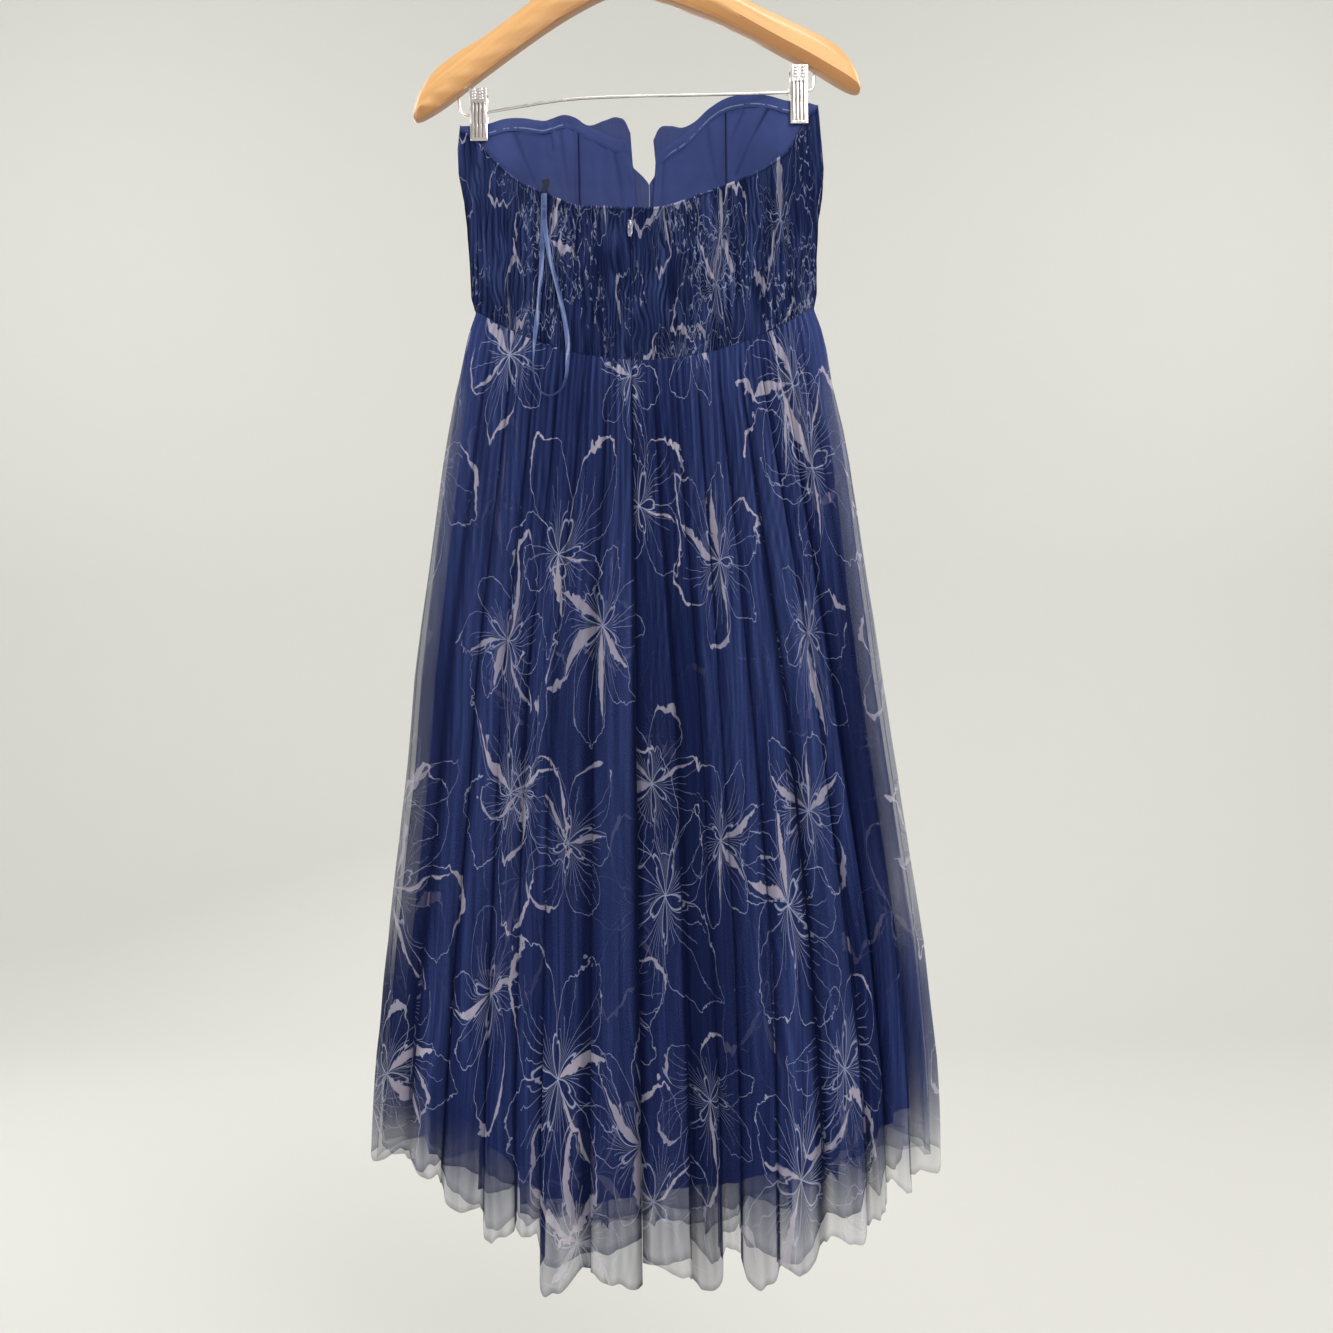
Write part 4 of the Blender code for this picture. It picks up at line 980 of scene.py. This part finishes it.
# Ruched half of the back: dense wavy gathers over a smooth inside.
def bodiceBack(half):
    columns = 230 if half == "left" else 256
    rows = 98
    down, fraction = lattice(rows, columns)
    left, right = edges(-360)
    topX = left + (right - left) * halfShare(half, fraction, -360)
    top = curve(bodice["backTop"], topX)
    bottom = waistHeight(lambda level: halfShare(half, fraction, level), fraction) + 0.15
    height = top + (bottom - top) * down
    share = halfShare(half, fraction + 0 * height, height)
    points = flatPoint(back, share, height)
    normals = outward(back, share, height)
    x = points[..., 0]
    seed = 3 if half == "left" else 8
    phase, ridge = gathers(x, height, seed)
    strength = 0.75 + 0.5 * noise(x / 11, height / 34, seed + 2)
    broad = 0.7 * noise(x / 22, height / 60, seed + 4)
    fromTop = top - height
    fromBottom = height - bottom
    edgeFade = smooth(fromTop / 5) * smooth(fromBottom / 2.5)
    seamDistance = np.abs(x - bodice["backSeam"])
    seamFade = smooth((seamDistance - 0.3) / 1.6)
    pressed = 1 - 0.75 * pinch(x, height)
    relief = (bodice["rucheDepth"] * ridge * strength + broad) * edgeFade * seamFade * pressed
    origin = (0.2 if half == "left" else 1.3, 1.9)
    paintedShade, uv = ruchedCloth(x, height, phase, ridge, edgeFade * seamFade, pressed, origin)
    for clip in clips.values():                  # folds fan out below each clip
        angle = np.arctan2(x - clip["x"], clip["bottom"] + 22 - height)
        reach = np.hypot(x - clip["x"], clip["bottom"] + 22 - height)
        fan = np.cos(angle * 11) * bell((reach - 55) / 42)
        relief = relief + 0.9 * fan * edgeFade * seamFade
    roll = 0.7 * bell((fromTop - 1.6) / 1.4)
    inner = moved(points, normals, 0.2 + 0 * x)
    outer = closeSides(moved(points, normals, 1.35 + np.maximum(relief, -0.5) + roll), share)
    for grid in (inner, outer):
        column = -1 if half == "left" else 0
        grid[:, column, 0] = bodice["backSeam"] + (-0.15 if half == "left" else 0.15)
    # painted shade under the rolled top edge and along the back seam
    paintedShade = paintedShade * (0.45 + 0.55 * smooth(np.abs(fromTop - 3.4) / 1.6))
    paintedShade = paintedShade * (0.4 + 0.6 * smooth(seamDistance / 1.2))
    piece = clothWall("bodiceBack" + half.title(), back, inner, outer, uv,
                      clothValues(uv, paintedShade, ruchedTone(x, height, seed + 6), seed))
    dress(piece, ruchedFinish, ["bodice_back_" + half])
    plainInside(piece, rows, columns)
    declareSheet(points)


# The inner faces of a ruched wall are its plain backing.
def plainInside(piece, rows, columns):
    piece.data.materials.append(insideFinish)
    kinds = np.zeros(len(piece.data.polygons), dtype=np.int32)
    kinds[:(rows - 1) * (columns - 1)] = 1
    piece.data.polygons.foreach_set("material_index", kinds)


def frontPlace(half, fraction, height, table):
    left, right = edges(height)
    centre = tableAt(height, table)
    start, end = (left, centre) if half == "left" else (centre, right)
    return start + (end - start) * fraction


# Ruched outer front of one side, with its lobe beside the notch.
def bodiceFront(half):
    columns, rows = 180, 90
    table = bodice["notch"][half]
    down, fraction = lattice(rows, columns)
    top = curve(bodice["frontTop"], frontPlace(half, fraction, fraction * 0 + bodice["notchLevel"], table))
    bottom = 0.15 + waistHeight(
        lambda level: shareAt(frontPlace(half, fraction, level, table), level), fraction)
    height = top + (bottom - top) * down
    x = frontPlace(half, fraction + 0 * height, height, table)
    share = shareAt(x, height)
    points = flatPoint(front, share, height)
    normals = outward(front, share, height)
    seed = 31 if half == "left" else 37
    phase, ridge = gathers(x, height, seed)
    strength = 0.8 + 0.45 * noise(x / 12, height / 36, seed + 2)
    fromTop = top - height
    edgeFade = smooth(fromTop / 5) * smooth((height - bottom) / 2.5)
    pressed = 1 - 0.75 * pinch(x, height)
    relief = 2.0 * ridge * strength * edgeFade * pressed
    origin = (3.4 if half == "left" else 4.5, 0.9)
    paintedShade, uv = ruchedCloth(x, height, phase, ridge, edgeFade, pressed, origin)
    roll = 0.8 * bell((fromTop - 1.6) / 1.5)
    inner = moved(points, normals, 2.9 + 0.35 * ridge * edgeFade)
    outer = closeSides(moved(points, normals, 3.9 + relief + roll), share)
    piece = clothWall("bodiceFront" + half.title(), front, inner, outer, uv,
                      clothValues(uv, paintedShade, ruchedTone(x, height, seed + 6), seed))
    dress(piece, ruchedFinish, ["bodice_front_" + half])
    plainInside(piece, rows, columns)
    declareSheet(points)


# Creases of the lining: start, end, how deep and how wide, and 1 for a ridge.
liningCreases = (
    ((134, -259), (104, -316), 2.6, 3.2, -1), ((126, -262), (96, -322), 1.4, 4.0, 1),
    ((112, -252), (97, -290), 1.2, 3.0, -1), ((148, -262), (128, -300), 1.0, 4.0, 1),
    ((76, -262), (86, -340), 0.9, 5.0, -1), ((60, -272), (44, -330), 0.8, 6.0, 1),
    ((34, -290), (28, -345), 1.1, 4.5, -1), ((-118, -276), (-92, -330), 1.5, 5.0, -1),
    ((-104, -272), (-78, -340), 1.0, 6.0, 1), ((-86, -262), (-80, -290), 2.4, 3.0, -1),
    ((-70, -262), (-66, -330), 1.1, 4.0, -1), ((-42, -270), (-36, -345), 0.9, 6.0, 1),
    ((-20, -286), (-10, -345), 1.2, 5.0, -1), ((-4, -292), (2, -345), 0.8, 3.5, 1),
    ((6, -360), (20, -430), 1.4, 6.0, -1), ((-60, -380), (-50, -470), 1.2, 8.0, 1),
    ((70, -380), (84, -470), 1.2, 8.0, -1), ((-120, -340), (-128, -440), 1.2, 8.0, -1),
    ((140, -330), (150, -430), 1.2, 8.0, 1),
)


# Soft troughs and ridges of the lining, away from the viewer, and the shade in the troughs.
def creaseRelief(x, height):
    relief, shade = 0 * x, 0 * x
    for start, end, depth, width, way in liningCreases:
        a, b = np.array(start, float), np.array(end, float)
        along = b - a
        t = ((x - a[0]) * along[0] + (height - a[1]) * along[1]) / (along @ along)
        clamped = np.clip(t, 0, 1)
        bend = 1 + 0.35 * np.sin(clamped * 5 + start[0])
        sway = 1.6 * np.sin(clamped * 3.2 + start[0] * 0.3)
        aside = np.hypot(x - a[0] - along[0] * clamped - sway, height - a[1] - along[1] * clamped)
        distance = aside / (width * bend)
        fade = 1 - 0.6 * clamped
        if way > 0:
            relief = relief - depth * bell(distance) * fade
        else:                                     # a trough lies between two soft ridges
            relief = relief - 0.6 * depth * bell((distance - 1.5) / 0.9) * fade
            shade = np.maximum(shade, 0.44 * depth * bell(distance / 0.42) * fade)
    return relief, shade


# Two lining panels that meet at the princess seam, and the facing tape over their top.
def bodiceLining(half):
    table = bodice["liningNotch"][half]
    seamX = bodice["princess"][half]
    rows = 80

    def panel(title, start, end, columns):
        down, fraction = lattice(rows, columns)

        def place(height):
            left, right = edges(height)
            spots = {"side": left if half == "left" else right, "seam": seamX + 0 * height,
                     "centre": tableAt(height, table)}
            return spots[start] + (spots[end] - spots[start]) * fraction

        topX = place(fraction * 0 + bodice["notchLevel"])
        top = curve(bodice["frontTop"], topX) - curve(bodice["liningDrop"], topX)
        bottom = waistHeight(lambda level: shareAt(place(level), level), fraction) + 0.15
        height = top + (bottom - top) * down
        x = place(height)
        share = shareAt(x, height)
        points = flatPoint(front, share, height)
        normals = outward(front, share, height)
        ease = 0.9 * bell((x - 16) / 22)
        seamAway = np.abs(x - seamX)
        seamRoll = -0.8 * bell((seamAway - 2.2) / 1.3)
        relief, shade = creaseRelief(x, height)
        relief = np.minimum((relief + seamRoll) * (1 - pinch(x, height)), 0.25)
        seamShade = 0.9 * bell(seamAway / 0.8) + 0.22 * bell(seamAway / 5)
        # painted shadow along the facing's lower edge
        facingShadow = 0.40 * bell(top - height - bodice["facingDepth"] - 0.8)
        facingShadow = facingShadow * (smooth((x - 26) / 10) if half == "right" else smooth((-56 - x) / 8))
        paintedShade = 1 - np.clip(np.maximum(np.maximum(shade, seamShade), facingShadow), 0, 0.95)
        inner = moved(points, normals, 1.35 - ease + relief)
        outer = moved(points, normals, 2.35 - ease + np.minimum(relief, 0) * 0.9)
        for grid in (inner, outer):
            if start == "seam":
                grid[:, 0, 0] += 0.15
            if end == "seam":
                grid[:, -1, 0] -= 0.15
        wide = float(np.max(np.sum(np.linalg.norm(np.diff(points, axis=1), axis=-1), axis=1)))
        uv = cutMap(points, wide)
        piece = clothWall("lining" + title + half.title(), front, inner, outer, uv, {"paintedShade": paintedShade})
        dress(piece, liningFinish, ["lining_%s_%s" % (title.lower(), half)])
        declareSheet(points)

    if half == "left":
        panel("Side", "side", "seam", 90)
        panel("Centre", "seam", "centre", 60)
    else:
        panel("Centre", "centre", "seam", 60)
        panel("Side", "seam", "side", 80)

    columns, bands = 260, 14
    inward, fraction = lattice(bands, columns)
    topX = frontPlace(half, fraction, fraction * 0 + bodice["notchLevel"], table)
    top = curve(bodice["frontTop"], topX) - curve(bodice["liningDrop"], topX)
    height = top - 0.2 - (bodice["facingDepth"] - 0.2) * inward
    x = frontPlace(half, fraction, height, table)
    share = shareAt(x, height)
    points = flatPoint(front, share, height)
    normals = outward(front, share, height)
    ease = 0.9 * bell((x - 16) / 22)
    padded = 0.55 * np.sin(np.pi * np.clip(inward * 1.6, 0, 1)) * (1 - pinch(x, height))
    ripple = 0.5 * noise(x / 9, height / 14, 51) * inward * (1 - pinch(x, height))
    dent = 2.0 * bell((x + 84) / 4.5) * smooth(inward * 2) if half == "left" else 0 * x
    band = smooth((x - 26) / 10) if half == "right" else smooth((-56 - x) / 8)
    pressed = 0.95 * smooth((inward - 0.72) / 0.28) * (1 - 0.6 * band)
    inner = moved(points, normals, 0.15 - ease - padded * (0.3 + 0.7 * band) - ripple - dent + pressed)
    outer = moved(points, normals, 1.15 - ease - dent)
    wide = float(np.sum(np.linalg.norm(np.diff(points[0], axis=0), axis=-1)))
    uv = cutMap(points, wide)
    grip = smooth((x - 30) / 12) if half == "right" else smooth((-62 - x) / 8)
    piece = clothWall("frontFacing" + half.title(), front, inner, outer, uv, {"grip": grip})
    dress(piece, facingFinish, ["front_facing_" + half])
    declareSheet(points)


for half in ("left", "right"):
    bodiceBack(half)
    bodiceFront(half)
    bodiceLining(half)
print("bodice made")


# Ribbon loop and its tab

ribbon = {
    "width": 4.4,
    "thickness": 0.45,
    "rows": 150,
    "path": (
        (-86, -349), (-87, -375), (-88, -408), (-91, -446), (-94, -475),
        (-97, -504), (-97, -522), (-94, -536), (-88, -545), (-80, -548),
        (-72, -544), (-66, -533), (-64, -516), (-63.5, -499), (-67, -470),
        (-72, -447), (-81, -408), (-85, -375), (-85, -349),
    ),
    "tab": {"left": -87.4, "right": -80.4, "top": -334.5, "bottom": -350.5},
}


def ribbonLevel(x, height):
    out = np.where(height > -480, 3.8 + smooth((-440 - height) / 40) * 2.0,
                   5.8 + outline(height, "fold") * 1.1)
    share = shareAt(x, height)
    points = flatPoint(back, share, height)
    return moved(points, outward(back, share, height), out)[..., 1]


def makeRibbon():
    route = np.array(ribbon["path"], float)
    arc = np.concatenate([[0], np.cumsum(np.linalg.norm(np.diff(route, axis=0), axis=1))])
    t = np.linspace(0, arc[-1], ribbon["rows"])
    x = curve(np.stack([arc, route[:, 0]], axis=1), t)
    height = curve(np.stack([arc, route[:, 1]], axis=1), t)
    over = smooth((t / arc[-1] - 0.35) / 0.3) * 1.35
    level = ribbonLevel(x, height) - over - 0.5
    tangent = np.stack([np.gradient(x), np.gradient(height)], axis=1)
    tangent /= np.linalg.norm(tangent, axis=1, keepdims=True)
    gone = t / arc[-1]
    twist = 0.75 * np.sin(gone * 17.0 + 0.6) * np.sin(np.pi * gone) ** 0.7
    twist = twist * (1 - bell((gone - 0.5) / 0.12)) + 1.32 * bell((gone - 0.5) / 0.15)
    flat = np.cos(twist)
    across = np.stack([tangent[:, 1] * flat, np.sin(twist), -tangent[:, 0] * flat], axis=1)
    centre = np.stack([x, level, height], axis=1)
    places = np.linspace(-0.5, 0.5, 9)
    cup = np.array([0, -0.35, 0])
    grid = centre[:, None, :] + across[:, None, :] * (places[None, :, None] * ribbon["width"])
    grid = grid + cup * (1 - 4 * places[None, :, None] ** 2)
    uv = np.stack(np.broadcast_arrays(places * ribbon["width"] * mm, t[:, None] * mm), axis=-1)
    thick = np.array([0, ribbon["thickness"], 0])
    piece = clothWall("hangerLoop", back, grid + thick, grid, uv)
    dress(piece, ribbonFinish, ["hanger_loop"])


def makeTab():
    tab = ribbon["tab"]
    down, across = lattice(16, 14)
    x = tab["left"] + (tab["right"] - tab["left"]) * across + 0.7 * np.sin(down * 7) + 0 * down
    height = tab["top"] + (tab["bottom"] - tab["top"]) * down + 1.6 * across
    share = shareAt(x, height)
    points = flatPoint(back, share, height)
    normals = outward(back, share, height)
    puff = 1.6 * np.sin(np.pi * across) ** 0.5 * np.sin(np.pi * np.clip(down, 0.02, 0.98)) ** 0.4
    fold = 0.35 * np.cos(across * 14 + down * 3)
    inner = moved(points, normals, 2.8 + 0 * x)
    outer = moved(points, normals, 3.4 + puff + fold)
    uv = np.stack([across + 0 * down, down + 0 * across], axis=-1) * 0.01
    piece = clothWall("loopTab", back, inner, outer, uv)
    dress(piece, bindingFinish, ["loop_tab"])


makeTab()
makeRibbon()
print("ribbon made")


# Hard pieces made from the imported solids

def deselect():
    bpy.ops.object.select_all(action="DESELECT")


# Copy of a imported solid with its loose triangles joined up, in edit mode.
def copied(node, name):
    deselect()
    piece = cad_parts[node].copy()
    piece.data = piece.data.copy()
    piece.name = piece.data.name = name
    piece.parent = None
    bpy.context.scene.collection.objects.link(piece)
    for key in [key for key in piece.keys() if key.startswith("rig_")]:
        del piece[key]
    bpy.context.view_layer.objects.active = piece
    piece.select_set(True)
    bpy.ops.object.mode_set(mode="EDIT")
    bpy.ops.mesh.select_all(action="SELECT")
    bpy.ops.mesh.remove_doubles(threshold=0.00001)
    return piece


# Bevel and smooth surface, applied, on the active piece.
def rounded(piece, bevel=0.0, levels=0, smoothUnder=40):
    bpy.ops.object.mode_set(mode="OBJECT")
    if bevel:
        edge = piece.modifiers.new("rounding", "BEVEL")
        edge.width = bevel
        edge.segments = 2
        edge.limit_method = "ANGLE"
        edge.angle_limit = math.radians(25)
        bpy.ops.object.modifier_apply(modifier="rounding")
    if levels:
        surface = piece.modifiers.new("surface", "SUBSURF")
        surface.levels = levels
        surface.render_levels = levels
        bpy.ops.object.modifier_apply(modifier="surface")
    bpy.ops.object.shade_smooth_by_angle(angle=math.radians(smoothUnder))
    deselect()


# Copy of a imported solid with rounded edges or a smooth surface.
def refined(node, name, finish, body=dressBody, bevel=0.0, levels=0):
    piece = copied(node, name)
    if levels:
        bpy.ops.mesh.tris_convert_to_quads(face_threshold=quadAngle, shape_threshold=quadAngle)
    else:
        bpy.ops.mesh.dissolve_limited(angle_limit=flatAngle)
    rounded(piece, bevel, levels)
    return dress(piece, finish, [node], body)


# Grain coordinates along whichever arm a face lies on.
def grainMap(piece):
    layer = piece.data.uv_layers.new(name="grain")
    slopes = {True: math.radians(36.7), False: math.radians(-30.4)}
    for loop in piece.data.loops:
        place = piece.data.vertices[loop.vertex_index].co
        slope = slopes[place.x < -0.004]
        u = place.x * math.cos(slope) + place.z * math.sin(slope)
        v = -place.x * math.sin(slope) + place.z * math.cos(slope) + place.y * 0.7
        layer.data[loop.index].uv = (u, v)


jaw = {
    "ribs": (-5.4, -1.8, 1.8, 5.4),      # across the plate
    "ribWidth": 2.5,
    "ribHeight": 0.6,
    "bumpRows": (0.12, 0.32, 0.52, 0.72),
    "bumps": (-3.6, 3.6),
    "bumpSize": (2.6, 1.4, 1.4),
    "gripStart": 3.2,        # the ribs start this far above the plate's foot
    "gripEnd": 9.0,          # and end this far above the bar
    "handleStart": 9.2,
    "handleDepth": (8.6, 4.9),      # from the middle plane, at the top and at the foot of the handle
    "grooves": (7.0, 0.35, 3.0),    # half the grooved width, their edge on a rib, their start
    "spring": {
        "radius": 2.9, "wire": 0.5, "turns": 5, "pitch": 3.4, "steps": 24,
        "start": {"left": -8.5, "right": -11.5},
    },
}
quadAngle = math.radians(60)
flatAngle = math.radians(1)


def applyScale():
    bpy.ops.object.transform_apply(location=True, rotation=True, scale=True)


# Pressed plate: ribs down its grip, two columns of bumps on its handle, and painted shade in the grooves
# between the ribs.
def clipJaw(side, part):
    clip = clips[side]
    facing = back if part == "front_jaw" else front
    name = "clip" + side.title() + part.title().replace("_", "")
    piece = copied("clip_%s_%s" % (side, part), name)
    bpy.ops.mesh.dissolve_limited(angle_limit=flatAngle)
    for middle in jaw["ribs"]:
        for edge in (-jaw["ribWidth"] / 2, jaw["ribWidth"] / 2):
            bpy.ops.mesh.select_all(action="SELECT")
            bpy.ops.mesh.bisect(plane_co=((clip["x"] + middle + edge) * mm, 0, 0), plane_no=(1, 0, 0))
    bpy.ops.mesh.select_all(action="SELECT")
    gripStart, gripEnd = clip["bottom"] + jaw["gripStart"], clip["bar"] + jaw["gripEnd"]
    bpy.ops.mesh.bisect(plane_co=(0, 0, gripStart * mm), plane_no=(0, 0, 1))
    build = bmesh.from_edit_mesh(piece.data)
    for face in build.faces:
        place = face.calc_center_median() / mm
        onRib = any(abs(place.x - clip["x"] - middle) < jaw["ribWidth"] / 2 for middle in jaw["ribs"])
        face.select = onRib and gripStart < place.z < gripEnd and face.normal.y * facing > 0.5
    bmesh.update_edit_mesh(piece.data)
    bpy.ops.mesh.extrude_region_move(TRANSFORM_OT_translate={"value": (0, facing * jaw["ribHeight"] * mm, 0)})
    rounded(piece, 0.00022)
    handle = (clip["top"], clip["bar"] + jaw["handleStart"])
    reach = jaw["handleDepth"]
    for share in jaw["bumpRows"]:
        for x in jaw["bumps"]:
            spot = Vector((clip["x"] + x, facing * (reach[0] + (reach[1] - reach[0]) * share),
                           handle[0] + (handle[1] - handle[0]) * share)) * mm
            bpy.ops.mesh.primitive_uv_sphere_add(segments=14, ring_count=8, radius=1, location=spot)
            bpy.context.object.scale = Vector(jaw["bumpSize"]) * mm
            applyScale()
            bpy.ops.object.shade_smooth()
            piece.select_set(True)
            bpy.context.view_layer.objects.active = piece
            bpy.ops.object.join()
            deselect()
    dress(piece, chromeFinish, ["clip_%s_%s" % (side, part)])
    piece.data.materials.append(grooveShadeFinish)
    halfWide, onRib, grooveStart = jaw["grooves"]
    for face in piece.data.polygons:               # painted shade: the grooves between the ribs get the dark metal
        place = face.center / mm
        fromRib = min(abs(place.x - clip["x"] - middle) for middle in jaw["ribs"])
        between = fromRib > jaw["ribWidth"] / 2 - onRib and abs(place.x - clip["x"]) < halfWide
        if between and clip["bottom"] + grooveStart < place.z < gripEnd and place.y * facing > 0:
            face.material_index = 1


# Coil round the bar between the two plates, its ends just past them.
def clipSpring(side):
    clip, coil = clips[side], jaw["spring"]
    deselect()
    bpy.ops.mesh.primitive_circle_add(
        vertices=10, radius=coil["wire"] * mm, location=(coil["radius"] * mm, 0, 0),
        rotation=(math.radians(90), 0, 0))
    piece = bpy.context.object
    piece.name = piece.data.name = "clip" + side.title() + "Spring"
    applyScale()
    turn = piece.modifiers.new("coil", "SCREW")
    turn.angle = math.tau
    turn.screw_offset = coil["pitch"] * mm
    turn.iterations = coil["turns"]
    turn.steps = turn.render_steps = coil["steps"]
    bpy.ops.object.modifier_apply(modifier="coil")
    piece.rotation_euler = (0, math.radians(90), 0)
    piece.location = Vector((clip["x"] + coil["start"][side], 0, clip["bar"])) * mm
    applyScale()
    bpy.ops.object.mode_set(mode="EDIT")
    bpy.ops.mesh.select_all(action="SELECT")
    bpy.ops.mesh.normals_make_consistent(inside=False)
    bpy.ops.object.mode_set(mode="OBJECT")
    bpy.ops.object.shade_smooth()
    deselect()
    dress(piece, chromeFinish, ["clip_%s_spring" % side])


# Wooden body: soft along its length, crisp where its faces meet.
def makeWood():
    piece = copied("hanger_wood", "hangerWood")
    bpy.ops.mesh.tris_convert_to_quads(face_threshold=quadAngle, shape_threshold=quadAngle)
    bpy.ops.mesh.select_all(action="DESELECT")
    bpy.ops.mesh.edges_select_sharp(sharpness=math.radians(14))
    build = bmesh.from_edit_mesh(piece.data)
    for edge in build.edges:
        along = edge.verts[1].co - edge.verts[0].co
        edge.select = edge.select and abs(along.x) > 0.6 * along.length
    bmesh.update_edit_mesh(piece.data)
    bpy.ops.transform.edge_crease(value=0.92)
    rounded(piece, 0.0, 2, 15)
    dress(piece, woodFinish, ["hanger_wood"])
    grainMap(piece)


makeWood()
refined("hanger_hook", "hangerHook", chromeFinish, levels=1)
refined("clip_bar", "clipBar", chromeFinish, levels=1)
for side in ("left", "right"):
    clipJaw(side, "front_jaw")
    clipJaw(side, "back_jaw")
    clipSpring(side)
refined("zip_slider", "zipSlider", pullFinish, bevel=0.0002)
refined("zip_pull_tab", "zipPullTab", pullFinish, pullBody, bevel=0.00015)
print("hard pieces made")


# Zip tape with its closed teeth, behind the centre back seam

zipTape = {"end": -588.0, "width": 10.0, "thickness": 1.2, "toothPitch": 1.5, "teeth": 1.7}


def makeZipTape():
    rows, columns = 300, 15
    across = np.linspace(-0.5, 0.5, columns)[None, :]
    top = curve(bodice["backTop"], np.array([bodice["backSeam"]]))[0] - 1.0
    height = top + (zipTape["end"] - top) * np.linspace(0, 1, rows)[:, None]
    x = bodice["backSeam"] + zipTape["width"] * across + 0 * height
    middle = shareAt(bodice["backSeam"], height) + 0 * x
    below = np.clip((bodice["waistSide"] - bodice["waistDip"] - height) / 60, 0, 1)
    level = flatPoint(back, middle, height)[..., 1] + 0.3 + below * 2.2
    onTeeth = np.abs(across * zipTape["width"]) < zipTape["teeth"]
    way = np.where(across > 0, 0.5, 0.0)
    tooth = np.clip(0.5 + np.cos(math.tau * (height / zipTape["toothPitch"] + way)), 0, 1)
    outer = np.stack([x, level + 0.5 - 0.45 * onTeeth * tooth, height + 0 * x], axis=-1)
    inner = np.stack([x, level + zipTape["thickness"] - 0.4 + 0.4 * onTeeth * tooth, height + 0 * x], axis=-1)
    uv = np.stack([x * mm, (height + 0 * x) * mm], axis=-1)
    piece = clothWall("zipTape", back, inner, outer, uv)
    dress(piece, tapeFinish, ["zip_chain"])


makeZipTape()
print("zip tape made")


# Studio

def makeStudio():
    deselect()
    wide, deep, tall = studio["room"]
    bpy.ops.mesh.primitive_plane_add(size=1, location=(0, studio["centre"], studio["floor"]))
    floor = bpy.context.object
    floor.name = "studioFloor"
    floor.scale = (wide, deep, 1)
    applyScale()
    bpy.ops.object.mode_set(mode="EDIT")
    build = bmesh.from_edit_mesh(floor.data)
    for edge in build.edges:
        edge.select = all(vertex.co.y > studio["centre"] + 0.48 * deep for vertex in edge.verts)
    bmesh.update_edit_mesh(floor.data)
    bpy.ops.mesh.extrude_region_move(TRANSFORM_OT_translate={"value": (0, 0, tall)})
    bpy.ops.object.mode_set(mode="OBJECT")
    bend = floor.modifiers.new("bend", "BEVEL")
    bend.width = studio["bend"]
    bend.segments = 16
    bend.limit_method = "ANGLE"
    bpy.ops.object.modifier_apply(modifier="bend")
    bpy.ops.object.shade_smooth()
    made, tree, shader = newMaterial("paleWall")
    feed(shader, {"Base Color": studio["wall"], "Roughness": 0.9, "Specular IOR Level": 0.1})
    floor.data.materials.append(made)
    deselect()

    world = bpy.data.worlds.new("softDaylight")
    world.use_nodes = True
    feed(world.node_tree.nodes["Background"], {"Color": studio["worldColour"], "Strength": studio["world"]})
    bpy.context.scene.world = world


def softLight(name, place, target, size, energy, colour):
    data = bpy.data.lights.new(name, "AREA")
    data.shape = "RECTANGLE"
    data.size, data.size_y = size
    data.energy = energy
    data.color = colour
    lamp = bpy.data.objects.new(name, data)
    lamp.location = place
    lamp.rotation_euler = (Vector(target) - Vector(place)).to_track_quat("-Z", "Y").to_euler()
    bpy.context.scene.collection.objects.link(lamp)


makeStudio()
for light in studio["lights"]:
    softLight(*light)

camera = bpy.data.cameras.new("photoCamera")
camera.sensor_fit = "HORIZONTAL"
camera.angle = 2 * math.atan(view["halfWidth"] / -view["place"][1])
cameraObject = bpy.data.objects.new("photoCamera", camera)
cameraObject.location = Vector(view["place"]) * mm
cameraObject.rotation_euler = (math.radians(90), math.radians(view["roll"]), 0)
bpy.context.scene.collection.objects.link(cameraObject)
bpy.context.scene.camera = cameraObject
bpy.context.scene.view_settings.view_transform = "Standard"
cycles = bpy.context.scene.cycles
cycles.transparent_max_bounces = 24
cycles.diffuse_bounces = 2
cycles.max_bounces = 5
print("studio made")
